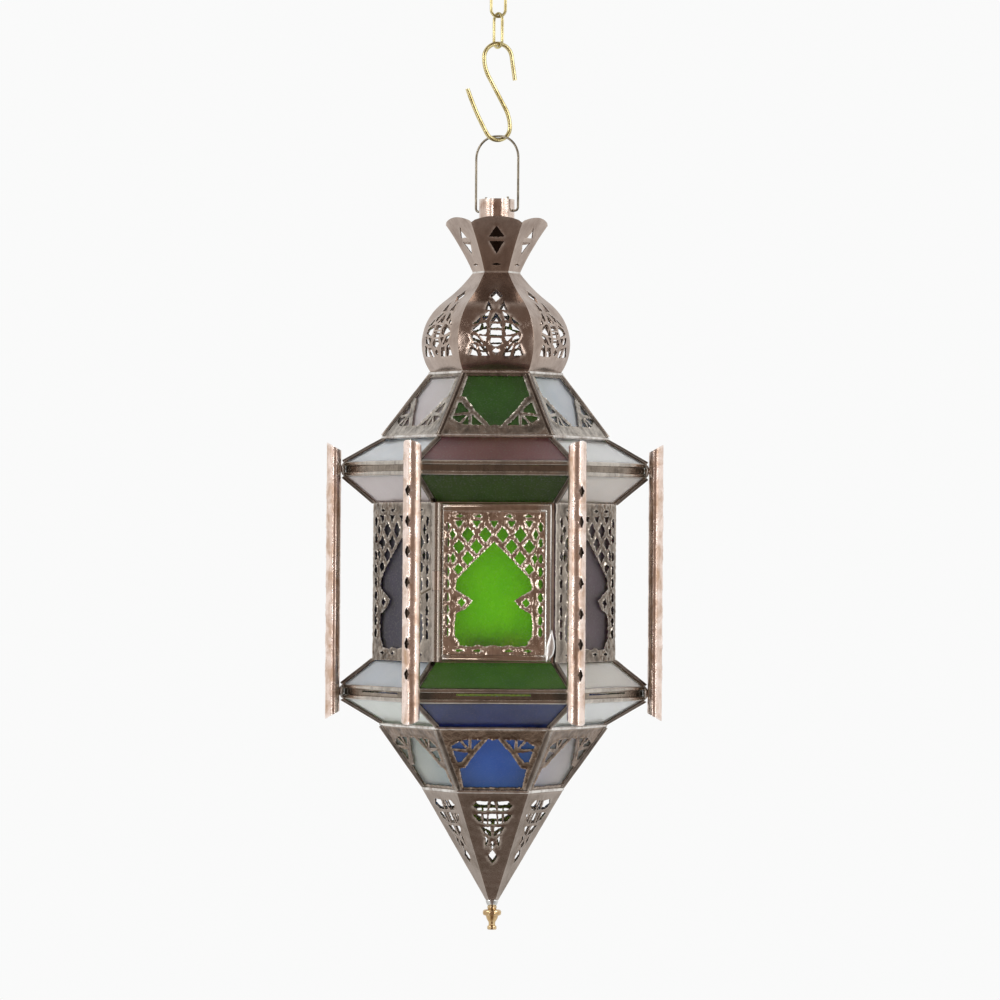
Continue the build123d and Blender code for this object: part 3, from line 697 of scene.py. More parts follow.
def hex_ring(section, steps=24):
    """Mitred six-sided ring, slightly uneven, from an (apothem, z) section listed anticlockwise."""
    points = []
    for side in range(6):
        turn = Matrix.Rotation(side * pi / 3, 3, "Z")
        for step in range(steps):
            along = 2 * step / steps - 1
            for a, z in section:
                spot = turn @ Vector((a * mitre * along, -a, z))
                waver = waver_height * noise.noise(spot * waver_scale)
                points.append(spot + turn @ Vector((0, -waver if step else 0, waver)))
    return points, between_rings(6 * steps, len(section), closed=True)


def half_round(outer_a, low_z, high_z, depth, steps=6):
    """Outer side of a rounded bar, from its lower edge up."""
    side = []
    for step in range(steps + 1):
        angle = pi * (step / steps - 0.5)
        z = (low_z + high_z) / 2 + (high_z - low_z) / 2 * sin(angle)
        side.append((outer_a - depth + depth * cos(angle), z))
    return side


def together(*shapes):
    """Several (points, faces) shapes as one."""
    points, faces = [], []
    for more_points, more_faces in shapes:
        faces += [[v + len(points) for v in face] for face in more_faces]
        points += more_points
    return points, faces


run_scale = 260.0
run_fade = 1.5
run_cover = 0.9


def soldered_corners(material, spread, shade):
    """Solder or flux run over a finish near the lantern's corners, as far as an angle about its axis."""
    tree = material.node_tree
    target = tree.nodes["Principled BSDF"].inputs["Base Color"]
    colour = target.links[0].from_socket
    place = object_place(tree)
    spot = add_node(tree, "ShaderNodeSeparateXYZ", {0: place}).outputs
    away = math_of(tree, "PINGPONG", math_of(tree, "ARCTAN2", spot["Y"], spot["X"]), pi / 6)
    runs = grain_of(tree, place, run_scale, 3.0)
    ragged = math_of(tree, "MULTIPLY_ADD", runs, spread, away)
    covered = range_of(tree, ragged, spread, run_fade * spread, run_cover, 0.0)
    tree.links.new(blend_of(tree, covered, colour, (*shade, 1)), target)


soldered_copper = metal(
    "soldered_copper", dull=(0.28, 0.22, 0.185), bright=(0.70, 0.675, 0.64), rubbed=(0.84, 0.81, 0.78),
    patch_scale=80.0, edge_wear=0.2, rough=(0.12, 0.30), dent_depth=0.0007,
)
finish_nodes(soldered_copper, "neck_ring")
belt_copper = metal(
    "belt_copper", dull=(0.19, 0.165, 0.138), bright=(0.45, 0.410, 0.360), rubbed=(0.85, 0.79, 0.72),
    patch_scale=60.0, edge_wear=0.5, rough=(0.08, 0.20), dent_depth=0.0007,
)
soldered_corners(belt_copper, 0.11, (0.36, 0.36, 0.33))
came_copper = metal(
    "came_copper", dull=(0.040, 0.030, 0.023), bright=(0.125, 0.098, 0.080), rubbed=(0.62, 0.55, 0.48),
    patch_scale=90.0, edge_wear=0.55, rough=(0.16, 0.34), dent_depth=0.0004,
)
rail_depth = 0.005
rail_round = 0.0011
for node, ring in (
    ("dome_rail", roof_top), ("roof_step_rail", roof_step),
    ("base_step_rail", base_step), ("ledge_rail", ledge),
):
    section = half_round(ring.a + rail_proud, ring.foot_z, ring.top_z, rail_round)
    section += [(ring.a - rail_depth, ring.top_z), (ring.a - rail_depth, ring.foot_z)]
    points, faces = hex_ring(section)
    set_around(node, points, faces, soldered_copper, "antique_copper", copies=1)

belt_rail_height = 0.0034
belt_groove = 0.0018
belt_depth = 0.0066
belt_round = 0.0014
groove_t = 0.0006
groove_slot_half = (0.0255, 0.0006)
groove_slot_rise = 0.0008
# The grooves' finishes are much darker than the rails' finish of the same strip: painted shade in the
# recessed groove.
shaded_groove_copper, shaded_slit_copper = (
    metal(
        name, dull=(0.10, 0.078, 0.058), bright=(0.26, 0.212, 0.170), rubbed=(0.50, 0.42, 0.34),
        patch_scale=70.0, edge_wear=0.2, rough=(0.16, 0.36), dent_depth=0.0003,
    ) for name in ("shaded_groove_copper", "shaded_slit_copper")
)
soldered_corners(shaded_slit_copper, 0.12, (0.11, 0.11, 0.095))
for node, ring, finish, slotted in (
    ("upper_belt", high_belt, shaded_groove_copper, False), ("lower_belt", low_belt, shaded_slit_copper, True),
):
    rails = []
    foot, top = ring.foot_z + belt_rail_height, ring.top_z - belt_rail_height
    for low_z, high_z in ((ring.foot_z, foot), (top, ring.top_z)):
        section = half_round(ring.a, low_z, high_z, belt_round)
        section += [(ring.a - belt_depth, high_z), (ring.a - belt_depth, low_z)]
        rails.append(hex_ring(section, steps=36))
    points, faces = together(*rails)
    set_around(node, points, faces, belt_copper, "antique_copper", copies=1)
    groove_a = ring.a - belt_groove
    half = groove_a * mitre - seam
    wide, tall = groove_slot_half
    middle = (foot + top) / 2 + groove_slot_rise
    slit = oblong(-wide, wide, middle - tall, middle + tall)
    band = oblong(-half, half, foot, top)
    points, faces = pierced_sheet(
        band, [slit] if slotted else [], spacing=0.0012, thickness=groove_t, ragged=0.00008, seed=4,
    )
    points = [(x, -groove_a - h, z) for x, z, h in points]
    set_around(node, points, faces, finish, "antique_copper", part="groove")

came_profile = [
    (0.00300, -0.00020), (0.00285, 0.00030), (0.00250, 0.00042), (0.00180, 0.00045), (0.00100, 0.00050),
    (0.00060, 0.00080), (0.00035, 0.00110), (0.0, 0.00125),
]
came_back = [(0.0030, -0.0007), (0.0, -0.0009)]
came_steps = 16


def corner_came(tier):
    """Folded strip over the corner between facets 0 and 1, with two ridges and a round nose."""
    facet = on_facet(tier).to_3x3()
    turn = Matrix.Rotation(pi / 3, 3, "Z")
    out = facet.col[2]
    sides = ((Vector((-1, 0, 0)), out), (turn @ Vector((1, 0, 0)), turn @ out))
    nose = (sides[0][1] + sides[1][1]).normalized()
    ring = [(0, u, d) for u, d in came_profile] + [(1, u, d) for u, d in reversed(came_profile[:-1])]
    ring += [(1, *came_back[0]), (0, *came_back[1]), (0, *came_back[0])]
    points = []
    for step in range(came_steps + 1):
        share = step / came_steps
        a = tier.foot_a + (tier.top_a - tier.foot_a) * share
        corner = Vector((a * mitre, -a, tier.foot_z + (tier.top_z - tier.foot_z) * share))
        for side, u, d in ring:
            inwards, normal = sides[side]
            waver = waver_height * noise.noise((corner + inwards * u) * waver_scale * 2)
            points.append(corner + inwards * u + (normal if u else nose) * (d + waver))
    size = len(ring)
    ends = [[*range(size - 1, -1, -1)], [*range(came_steps * size, (came_steps + 1) * size)]]
    return points, ends + between_rings(came_steps + 1, size, inside_out=True)


for node, tiers in (
    ("roof_ribs", (upper_roof, lower_roof, upper_flare)),
    ("base_ribs", (lower_flare, upper_base, lower_base)),
):
    points, faces = together(*(corner_came(tier) for tier in tiers))
    set_around(node, points, faces, came_copper, "antique_copper")

# Panes: coloured glass, finely seeded and a little frosted, cut to each facet and puttied under the cames.
# Opposite facets of a tier share a colour. The edge of the front one shows in the slit of the lower belt.
seedy, given, result = shader_group("seedy_glass", [
    ("Tint", "NodeSocketColor", (0.5, 0.5, 0.5, 1)),
    ("Deep Tint", "NodeSocketColor", (0.3, 0.3, 0.3, 1)),
    ("Seed Scale", "NodeSocketFloat", 900.0),
    ("Flecks", "NodeSocketFloat", 0.30),
], [("Color", "NodeSocketColor"), ("Roughness", "NodeSocketFloat"), ("Height", "NodeSocketFloat")])
seed_white = (0.92, 0.95, 0.88, 1)
fleck_range = (0.54, 0.70)
thick_range = (0.35, 0.7)
frost_range = (0.3, 0.7)
frost_rough = (0.42, 0.34)
wave_scale = 55.0
place = object_place(seedy)
seeds = grain_of(seedy, place, given["Seed Scale"], 3.0)
waves = grain_of(seedy, place, wave_scale, 2.0)
thick = range_of(seedy, waves, *thick_range)
shade = blend_of(seedy, thick, given["Tint"], given["Deep Tint"])
fleck = range_of(seedy, seeds, *fleck_range, 0.0, given["Flecks"])
seedy.links.new(blend_of(seedy, fleck, shade, seed_white, blend_type="SCREEN"), result["Color"])
seedy.links.new(range_of(seedy, seeds, *frost_range, *frost_rough), result["Roughness"])
seedy.links.new(seeds, result["Height"])


def glass(colour, tint, deep_tint, *tiers, polish=0.0, flecks=0.30):
    """Finely textured coloured glass on the panes of these tiers, fire polished or matt outside."""
    material = bpy.data.materials.new(f"glass_{colour}")
    material.use_nodes = True
    tree = material.node_tree
    surface = tree.nodes["Principled BSDF"]
    for name, value in (
        ("Transmission Weight", 1.0 - 0.08 * polish), ("IOR", 1.5),
        ("Coat Weight", polish), ("Coat Roughness", 0.12), ("Coat IOR", 1.6),
    ):
        surface.inputs[name].default_value = value
    body = add_node(tree, "ShaderNodeGroup", {
        "Tint": (*tint, 1), "Deep Tint": (*deep_tint, 1), "Flecks": flecks,
    }, node_tree=seedy)
    bump = add_node(tree, "ShaderNodeBump", {
        "Height": body.outputs["Height"], "Strength": 0.06, "Distance": 0.0004,
    })
    tree.links.new(body.outputs["Color"], surface.inputs["Base Color"])
    tree.links.new(body.outputs["Roughness"], surface.inputs["Roughness"])
    tree.links.new(bump.outputs[0], surface.inputs["Normal"])
    finish_nodes(material, *tiers)
    return material


glass("leaf_green", (0.38, 0.76, 0.03), (0.30, 0.68, 0.03), "door_pane", "side_panes_green")
glass("bottle_green", (0.13, 0.31, 0.05), (0.09, 0.24, 0.035), "upper_roof_panes_green")
glass("dark_green", (0.10, 0.22, 0.03), (0.07, 0.17, 0.02), "upper_flare_panes_green")
glass("moss_green", (0.25, 0.50, 0.08), (0.19, 0.42, 0.06), "lower_flare_panes_green")
glass("blue", (0.13, 0.31, 0.68), (0.08, 0.23, 0.58), "lower_base_panes_blue", flecks=0.10)
glass("pale_blue", (0.74, 0.82, 0.92), (0.62, 0.74, 0.88), "upper_roof_panes_blue", "lower_roof_panes_blue",
      "lower_flare_panes_blue", polish=1.0)
glass("rose", (0.90, 0.78, 0.79), (0.84, 0.70, 0.72), "upper_roof_panes_rose", "upper_flare_panes_rose",
      polish=1.0)
glass("matt_rose", (0.88, 0.76, 0.77), (0.82, 0.68, 0.70), "lower_base_panes_rose")
glass("mauve", (0.62, 0.28, 0.33), (0.50, 0.20, 0.26), "lower_roof_panes_mauve")
glass("dusk_mauve", (0.42, 0.27, 0.33), (0.32, 0.20, 0.25), "side_panes_mauve")
glass("clear", (0.93, 0.95, 0.95), (0.87, 0.90, 0.91), "lower_roof_panes_clear", "upper_base_panes_clear",
      polish=1.0)
glass("amber", (0.94, 0.84, 0.72), (0.88, 0.76, 0.62), "upper_flare_panes_amber", "lower_flare_panes_amber",
      polish=1.0)
glass("indigo", (0.045, 0.080, 0.40), (0.030, 0.055, 0.31), "upper_base_panes_indigo", flecks=0.04)
glass("dusk_indigo", (0.11, 0.11, 0.22), (0.07, 0.07, 0.16), "side_panes_indigo")
glass("sage", (0.80, 0.89, 0.81), (0.70, 0.82, 0.72), "upper_base_panes_sage", polish=1.0)
glass("matt_sage", (0.76, 0.86, 0.78), (0.66, 0.78, 0.69), "lower_base_panes_sage")

pane_edge = glass("pane_edge", (0.95, 1.0, 0.12), (0.85, 0.92, 0.08))
pane_edge_depths = (0.3, 3)
points = [(x, -groove_a + groove_t * depth, z) for depth in pane_edge_depths for x, z in slit]
faces = [[0, 1, 2, 3], [7, 6, 5, 4]] + [[k, k + 4, (k + 1) % 4 + 4, (k + 1) % 4] for k in range(4)]
set_around("lower_flare_panes_green", points, faces, pane_edge, "glass_green", copies=1, part="edge")

# Corner sheets: a strip of pierced copper along the wide edge of each upper roof and lower base pane,
# with a spoked fan in both corners, lying on the glass and soldered under the cames.
fan_copper = metal(
    "fan_copper", dull=(0.105, 0.090, 0.074), bright=(0.40, 0.362, 0.318), rubbed=(0.74, 0.66, 0.58),
    patch_scale=130.0, edge_wear=0.3, rough=(0.12, 0.28), dent_depth=0.0012,
)
brown_fan_copper = metal(
    "brown_fan_copper", dull=(0.070, 0.047, 0.032), bright=(0.20, 0.142, 0.104), rubbed=(0.74, 0.62, 0.52),
    patch_scale=130.0, edge_wear=0.4, rough=(0.10, 0.26), dent_depth=0.0012,
)
came_cover = 0.0028
fan_narrow_strip = 0.0022
fan_low_spoke = [(0.0232, 0.0080), (0.0184, 0.0146), (0.0250, 0.0090), (0.0198, 0.0154)]
fan_inner_edge = [(0.0, 0.0078), (0.0036, 0.0068), (0.0140, 0.0200), (0.0206, 0.0306)]
fan_outer_edge = [(0.0084, 0.0074), (0.0159, 0.0158), (0.0180, 0.0186), (0.0236, 0.0262)]
spoke_half = 0.0010
spoke_up_x = 0.0172
spoke_side_depth = 0.0158


def fan_sheet(tier, strip_at_foot, side_strip, squeeze):
    """Outline and holes of a corner sheet in the facet's own plane, its fans squeezed towards the middle."""
    wide_a = max(tier.top_a, tier.foot_a)
    narrow_a = min(tier.top_a, tier.foot_a)
    length = slope(tier)

    def half_at(depth, inset=came_cover):
        return (wide_a + (narrow_a - wide_a) * depth / length) * mitre - inset

    def bay(depth):
        return (half_at(depth, came_cover + side_strip), depth)

    outline = [(-half_at(0), 0), (half_at(0), 0), (half_at(length), length), (-half_at(length), length)]
    right = [(x * squeeze, y) for x, y in fan_inner_edge]
    right += [bay(right[-1][1] + spoke_half)]
    right += [(half_at(length - fan_narrow_strip, came_cover + fan_narrow_strip), length - fan_narrow_strip)]
    window = right + [(-x, y) for x, y in reversed(right[1:])]
    strip_end, up_end, side_end, low_end = [(x * squeeze, y) for x, y in fan_outer_edge]
    spoke_x = spoke_up_x * squeeze
    low_spoke = [(x * squeeze, y) for x, y in fan_low_spoke]
    holes = mirrored([
        [strip_end, (spoke_x - spoke_half, strip_end[1]), up_end],
        [(spoke_x + spoke_half, strip_end[1]), low_spoke[0], low_spoke[1]],
        [
            low_spoke[2], bay(spoke_side_depth - 3 * spoke_half), bay(spoke_side_depth - spoke_half),
            low_spoke[3],
        ],
        [side_end, bay(spoke_side_depth + spoke_half), bay(low_end[1]), low_end],
    ])
    holes.append(window)
    if strip_at_foot:
        return outline, holes

    def upended(shape):
        return [(x, length - y) for x, y in reversed(shape)]

    return upended(outline), [upended(hole) for hole in holes]


def lay_on_facet(node, tier, sheet, finish, **around):
    """A flat sheet laid on a tier's facets in place of the CAD node."""
    points, faces = sheet
    place = on_facet(tier)
    set_around(node, [place @ Vector(point) for point in points], faces, finish, "antique_copper", **around)


for node, finish, tier, strip_at_foot, side_strip, squeeze, seed in (
    ("upper_roof_filigree", fan_copper, upper_roof, True, 0.0031, 1.0, 5),
    ("lower_base_filigree", brown_fan_copper, lower_base, False, 0.0042, 0.92, 6),
):
    blank, cut = fan_sheet(tier, strip_at_foot, side_strip, squeeze)
    sheet = pierced_sheet(
        blank, cut, spacing=0.0010, thickness=copper_t,
        lip=0.0008, ragged=0.00016, hammered=0.00016, seed=seed,
    )
    lay_on_facet(node, tier, sheet, finish)

# Body frame: corner posts and rails of folded copper strip inside the glass, soldered at their meetings.
# The door's hinge knuckle is rolled from the same strip and soldered to the left post.
finish_nodes(antique_copper, "body_rails", "hinge_knuckle")
finish_nodes(soldered_copper, "body_posts")

# Side panels: pierced copper sheets with an arched window and a lattice of punched diamonds above it.
# They lie on the body's panes, and the burrs of the punch are left standing outwards.
arch_shares = [
    (0.0, 0.790), (0.34, 0.672), (0.72, 0.528), (0.75, 0.490), (0.75, 0.452), (0.56, 0.413), (0.41, 0.378),
    (0.54, 0.322), (0.74, 0.285), (0.77, 0.220), (0.765, 0.125), (0.70, 0.100), (0.66, 0.060), (0.45, 0.052),
    (0.30, 0.066), (0.15, 0.054), (0.0, 0.064),
]
lattice_middle_share = [(-0.085, 0.938), (0.0, 0.888), (0.085, 0.938)]
lattice_side_shares = [
    [(0.260, 0.938), (0.345, 0.888), (0.430, 0.938)],
    [(0.610, 0.938), (0.695, 0.888), (0.780, 0.938)],
    spot_diamond(0.171, 0.842, 0.126, 0.056),
    spot_diamond(0.520, 0.842, 0.126, 0.056),
    spot_diamond(0.345, 0.757, 0.122, 0.053),
    spot_diamond(0.697, 0.757, 0.118, 0.050),
    spot_diamond(0.517, 0.675, 0.118, 0.050),
    spot_diamond(0.702, 0.598, 0.094, 0.040),
    spot_diamond(0.822, 0.842, 0.056, 0.040),
    spot_diamond(0.808, 0.675, 0.056, 0.040),
    spot_diamond(0.640, 0.362, 0.078, 0.034),
]
slot_u_share = 0.925
slot_v_shares = (0.895, 0.785, 0.672, 0.580, 0.494, 0.400, 0.313, 0.235, 0.155)
slot_half_shares = (0.046, 0.034)
edge_slot_u_shares = (0.31, 0.68)
edge_slot_v_shares = (0.972, 0.024)
edge_slot_half_shares = (0.085, 0.011)


def lattice_sheet(left, right, bottom, top, margin):
    """Holes of a lattice panel in its own plane: the arched window, the diamonds and the slotted margins."""
    middle = (left + right) / 2
    half = (right - left) / 2 - margin
    height = top - bottom - 2 * margin
    window = arch_shares + [(-u, v) for u, v in reversed(arch_shares[1:-1])]
    sides = lattice_side_shares + [spot_oval(slot_u_share, v, *slot_half_shares, 8) for v in slot_v_shares]
    for u in edge_slot_u_shares:
        sides += [spot_diamond(u, v, *edge_slot_half_shares) for v in edge_slot_v_shares]
    shapes = [window[::-1], lattice_middle_share] + mirrored(sides)
    return [[(middle + u * half, bottom + margin + v * height) for u, v in shape] for shape in shapes]


lattice_copper = metal(
    "lattice_copper", dull=(0.36, 0.27, 0.20), bright=(0.70, 0.58, 0.49), rubbed=(0.95, 0.89, 0.83),
    patch_scale=110.0, edge_wear=0.6, rough=(0.08, 0.20), dent_depth=0.0011,
)
# Painted shade: the side panels' finish is a much darker copy of the door plate's finish for the same
# pierced sheet.
shaded_panel_copper = metal(
    "shaded_panel_copper", dull=(0.085, 0.068, 0.054), bright=(0.32, 0.275, 0.23), rubbed=(0.85, 0.78, 0.70),
    patch_scale=110.0, edge_wear=0.5, rough=(0.12, 0.30), dent_depth=0.0011,
)
panel_half = body.foot_a * mitre - seam
panel_height = body.top_z - body.foot_z
panel_margin = 0.0026
panel_edges = (-panel_half, panel_half, 0, panel_height)
cut = lattice_sheet(*panel_edges, panel_margin)
sheet = pierced_sheet(
    oblong(*panel_edges), cut, spacing=0.0010, thickness=copper_t,
    lip=0.0009, ragged=0.00018, hammered=0.00042, seed=7,
)
lay_on_facet("side_plates", body, sheet, shaded_panel_copper, copies=5, first=1)

# Door: a framed lattice sheet over a green pane, its left edge rolled round the hinge pin. A leaf of tinned
# sheet at the lower right is the pull.
plate_low, plate_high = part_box("door_plate")
frame_low, frame_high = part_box("door_frame")
left_bead = 0.0012
left_lap = 0.0040
plate_proud = 0.0003
plate_t = 0.0005
plate_margin = 0.0004
frame_left = plate_low.x - left_lap
plate_front = plate_low.y - plate_proud
plate_edges = (frame_left + left_bead / 2, plate_high.x, plate_low.z, plate_high.z)
cut = lattice_sheet(*plate_edges, plate_margin)
points, faces = pierced_sheet(
    oblong(*plate_edges), cut, spacing=0.0007, thickness=plate_t,
    lip=0.0008, ragged=0.00020, hammered=0.00044, seed=8,
)
points = [(x, plate_front - h, z) for x, z, h in points]
set_around("door_plate", points, faces, lattice_copper, "antique_copper", copies=1, body="door")

bar_rise = 0.0011
bar_steps = 8
bar_roundness = 0.7
bar_section = [(0.0, frame_high.y)]
for step in range(bar_steps + 1):
    rise = bar_rise * sin(pi * step / bar_steps) ** bar_roundness
    bar_section.append((step / bar_steps, frame_low.y - rise))
bar_section.append((1.0, frame_high.y))
points = []
for share, y in bar_section:
    left = frame_left + left_bead * share
    right = frame_high.x + (plate_high.x - frame_high.x) * share
    bottom = frame_low.z + (plate_low.z - frame_low.z) * share
    top = frame_high.z + (plate_high.z - frame_high.z) * share
    points += [(x, y, z) for x, z in oblong(left, right, bottom, top)]
faces = between_rings(len(bar_section), 4, closed=True, inside_out=True)
door_copper = metal(
    "door_copper", dull=(0.26, 0.18, 0.13), bright=(0.50, 0.40, 0.32), rubbed=(0.78, 0.70, 0.62),
    patch_scale=60.0, edge_wear=0.3, rough=(0.12, 0.28), dent_depth=0.0003,
)
soldered_corners(door_copper, 0.16, (0.60, 0.60, 0.57))
set_around("door_frame", points, faces, door_copper, "antique_copper", copies=1, body="door")

leaf_spine = [
    (0.0396, -0.4512), (0.0394, -0.4550), (0.0392, -0.4590), (0.0388, -0.4630), (0.0382, -0.4675),
    (0.0372, -0.4710), (0.0360, -0.4732),
]
leaf_half = [0.0002, 0.0012, 0.0023, 0.0030, 0.0027, 0.0016, 0.0001]
leaf_gap = 0.0002
leaf_front = plate_low.y - bar_rise - leaf_gap
leaf_crown = 0.0006
leaf_t = 0.0004
leaf_columns = 6
points = []
for back in (0, leaf_t):
    for (x, z), half in zip(leaf_spine, leaf_half):
        for column in range(leaf_columns + 1):
            across = 2 * column / leaf_columns - 1
            points.append((x + half * across, leaf_front - leaf_crown * (1 - across ** 2) + back, z))
wide = leaf_columns + 1
sheet = wide * len(leaf_spine)
faces = []
for row in range(len(leaf_spine) - 1):
    for column in range(leaf_columns):
        here = row * wide + column
        front_face = [here, here + wide, here + wide + 1, here + 1]
        faces += [front_face, [v + sheet for v in reversed(front_face)]]
faces += [[b, a, a + sheet, b + sheet] for a, b in open_edges(faces) if max(a, b) < sheet]
tin = metal(
    "tin", dull=(0.66, 0.66, 0.65), bright=(0.88, 0.88, 0.87), rubbed=(0.94, 0.94, 0.93),
    patch_scale=120.0, edge_wear=0.4, rough=(0.26, 0.46), dent_depth=0.0005,
)
set_around("door_tongue", points, faces, tin, "tin", copies=1, body="door", crease=radians(80))
finish_nodes(came_copper, "door_hinge_stile")


# Columns: strips of bright copper folded into flattened tubes, cut on the slant and punched with a row of
# diamonds on the outward side. Each is soldered to the corners of both belts; a near-black sheet inside is
# painted shade.
column_low, column_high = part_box("columns")
column_d = 0.0112
column_axis = column_high.x - column_d / 2
column_height = column_high.z - column_low.z
column_middle = (column_high.z + column_low.z) / 2
column_slant = 0.006
column_hole_pitch = 0.0208
column_hole_half = (0.0020, 0.0042)
lining_share = 0.99
lining_gap = 0.0002
lining_t = 0.0003
column_bends = np.array([
    (0.00530, 0.0), (0.00527, 0.00070), (0.00510, 0.00160), (0.00465, 0.00280), (0.00395, 0.00390),
    (0.00300, 0.00495), (0.00190, 0.00585), (0.00070, 0.00645), (-0.00050, 0.00662), (-0.00170, 0.00635),
    (-0.00280, 0.00565), (-0.00370, 0.00460), (-0.00430, 0.00330), (-0.00465, 0.00190), (-0.00475, 0.00015),
])
bend_runs = np.concatenate(([0.0], np.cumsum(np.hypot(*np.diff(column_bends, axis=0).T))))
bend_step = 0.0004


def on_column(along, height):
    """Place on the tube's section, so far round it from the nose and so high off its outside."""
    before, here, after = (
        Vector([np.interp(abs(along) + step, bend_runs, bends) for bends in column_bends.T])
        for step in (-bend_step, 0, bend_step)
    )
    tangent = (after - before).normalized()
    outwards = min(column_d / 2, here.x + tangent.y * height)
    across = here.y - tangent.x * height
    return outwards, across if along >= 0 else -across


column_half = bend_runs[-1]
rim_steps = 24
upper_rim = []
for step in range(rim_steps + 1):
    x = column_half * (1 - 2 * step / rim_steps)
    upper_rim.append((x, column_height / 2 - column_slant * (0.5 - on_column(x, 0)[0] / column_d)))
column_blank = [(x, -y) for x, y in reversed(upper_rim)] + upper_rim
lining_blank = [(x, lining_share * y) for x, y in column_blank]
diamonds = [spot_diamond(0, number * column_hole_pitch, *column_hole_half) for number in range(-3, 4)]
column_copper = metal(
    "column_copper", dull=(0.46, 0.30, 0.20), bright=(0.84, 0.70, 0.63), rubbed=(0.97, 0.93, 0.90),
    patch_scale=90.0, edge_wear=0.5, rough=(0.20, 0.36), dent_depth=0.0004,
)
# Near-black painted shade on a sheet that lines each tube, seen through its diamonds.
painted_shade_black = metal(
    "painted_shade_black", dull=(0.020, 0.015, 0.012), bright=(0.075, 0.055, 0.042), rubbed=(0.12, 0.09, 0.07),
    patch_scale=120.0, edge_wear=0.2, rough=(0.30, 0.50), dent_depth=0.0003,
)
for part, blank, holes, depth, thickness, finish in (
    (None, column_blank, diamonds, 0.0, copper_t, column_copper),
    ("lining", lining_blank, [], copper_t + lining_gap, lining_t, painted_shade_black),
):
    points, faces = pierced_sheet(
        blank, holes, spacing=0.0012, thickness=thickness,
        lip=0.0007, ragged=0.00016, hammered=0.00008, seed=9,
    )
    rolled = []
    for x, y, h in points:
        outwards, across = on_column(x, h - depth)
        rolled.append((column_axis + outwards, across, column_middle + y))
    set_around("columns", rolled, faces, finish, "bright_copper", part=part)

solder = metal(
    "solder", dull=(0.22, 0.22, 0.21), bright=(0.62, 0.62, 0.60), rubbed=(0.85, 0.85, 0.83),
    patch_scale=200.0, edge_wear=0.5, rough=(0.12, 0.35), dent_depth=0.0004,
)
bead_shape = bmesh.new()
bmesh.ops.create_icosphere(bead_shape, subdivisions=3, radius=1.0)
bead_points = [vert.co.copy() for vert in bead_shape.verts]
bead_faces = [[vert.index for vert in face.verts] for face in bead_shape.faces]
blob_half = Vector((0.0017, 0.0021, 0.0042))
blob_sunk = 0.0004
lump_height = 0.22
lump_scale = 1.7
lump_shift = 90
blobs = []
for ring in (high_belt, low_belt):
    middle = Vector((ring.a / flat - blob_sunk, 0, (ring.top_z + ring.foot_z) / 2))
    lumps = []
    for spot in bead_points:
        swell = 1 + lump_height * noise.noise(spot * lump_scale + middle * lump_shift)
        lumps.append(middle + spot * blob_half * swell)
    blobs.append((lumps, bead_faces))
points, faces = together(*blobs)
set_around("solder_beads", points, faces, solder, "solder", crease=radians(80))

# Candle bar and cup: a strip of tinned sheet across the bottom rails with a shallow cup for a tea light.
# The strip is soldered to the rails at both ends, and the cup stands in its middle.
finish_nodes(tin, "candle_bar", "candle_cup")

# Pyramid: six copper sheets soldered edge to edge under the ledge and drawn to a point.
# Each is pierced in its wide half with a row of leaves and slots, and with diamonds below them.
spire_half = pyramid.top_a * mitre - seam
spire_slope = slope(pyramid)
spire_foot_half = pyramid.foot_a * mitre - seam
spire_middle_shares = [
    [(-0.105, 0.842), (0.105, 0.842), (0.035, 0.925), (-0.035, 0.925)],
    [(-0.120, 0.715), (0.120, 0.715), (0.105, 0.812), (-0.105, 0.812)],
    spot_diamond(0, 0.520, 0.085, 0.040),
    spot_diamond(0, 0.412, 0.140, 0.066),
]
spire_side_shares = [
    [(0.165, 0.838), (0.400, 0.840), (0.565, 0.885), (0.440, 0.932), (0.115, 0.925)],
    [(0.165, 0.712), (0.255, 0.722), (0.275, 0.808), (0.150, 0.812)],
    [(0.310, 0.728), (0.420, 0.745), (0.560, 0.805), (0.330, 0.812)],
    [(0.035, 0.600), (0.230, 0.632), (0.345, 0.690), (0.060, 0.692)],
    [(0.110, 0.565), (0.215, 0.610), (0.190, 0.500)],
]
spire_blank = [
    (-spire_foot_half, 0), (spire_foot_half, 0), (spire_half, spire_slope), (-spire_half, spire_slope),
]
spire_shares = spire_middle_shares + mirrored(spire_side_shares)
cut = [at_shares(shape, spire_half, 0, spire_slope) for shape in spire_shares]
sheet = pierced_sheet(
    spire_blank, cut, spacing=0.0013, thickness=copper_t,
    lip=0.0006, ragged=0.00014, hammered=0.00008, seed=10,
)
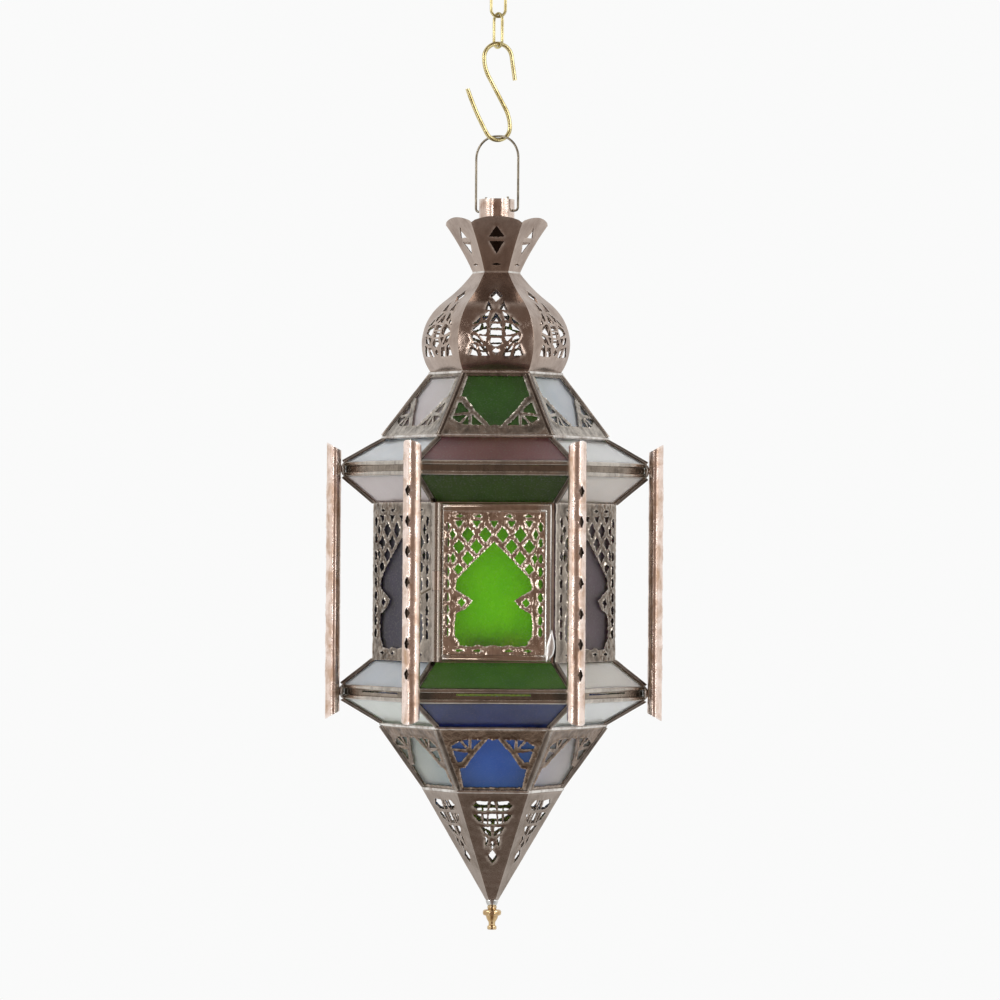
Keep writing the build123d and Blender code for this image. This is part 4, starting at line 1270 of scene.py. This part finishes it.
spire_copper = metal(
    "spire_copper", dull=(0.17, 0.13, 0.10), bright=(0.28, 0.23, 0.195), rubbed=(0.54, 0.45, 0.39),
    patch_scale=50.0, edge_wear=0.25, rough=(0.18, 0.30), dent_depth=0.0004,
)
lay_on_facet("pyramid_sheets", pyramid, sheet, spire_copper)


# Tip and finial: a cap of solder over the point, and a turned brass drop with a disc, a cup and a foot.
# The drop's shank is soldered into the cap.
def turned_piece(node, profile_shares, material, slot, segments=48):
    """Solid of revolution in a CAD node's box, from (radius, drop) shares of it listed from the top down."""
    low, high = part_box(node)
    points = []
    for r, drop in profile_shares:
        z = high.z - (high.z - low.z) * drop
        points += [(x, y, z) for x, y in spot_oval(0, 0, high.x * r, high.x * r, segments)]
    ends = [[*range(segments)], [*range(len(points) - 1, len(points) - segments - 1, -1)]]
    faces = ends + between_rings(len(profile_shares), segments)
    set_around(node, points, faces, material, slot, copies=1, crease=radians(30))


cap_profile_shares = [
    (0.96, 0.0), (1.0, 0.10), (0.97, 0.30), (0.90, 0.55), (0.80, 0.80), (0.70, 0.96), (0.64, 1.0),
]
turned_piece("tip_cap", cap_profile_shares, solder, "solder")
finial_brass = metal(
    "finial_brass", dull=(0.36, 0.22, 0.09), bright=(0.62, 0.46, 0.25), rubbed=(0.86, 0.74, 0.54),
    patch_scale=150.0, edge_wear=0.5, rough=(0.14, 0.30), dent_depth=0.0002,
)
finial_profile_shares = [
    (0.47, 0.0), (0.51, 0.02), (0.51, 0.09), (0.47, 0.11), (0.47, 0.14), (0.56, 0.155), (0.84, 0.17),
    (0.95, 0.20), (0.99, 0.24), (1.0, 0.29), (0.99, 0.34), (0.95, 0.38), (0.84, 0.41), (0.67, 0.425),
    (0.64, 0.47), (0.58, 0.55), (0.48, 0.62), (0.39, 0.67), (0.36, 0.72), (0.36, 0.81), (0.40, 0.835),
    (0.48, 0.85), (0.51, 0.89), (0.51, 0.96), (0.46, 1.0),
]
turned_piece("finial", finial_profile_shares, finial_brass, "finial_brass")
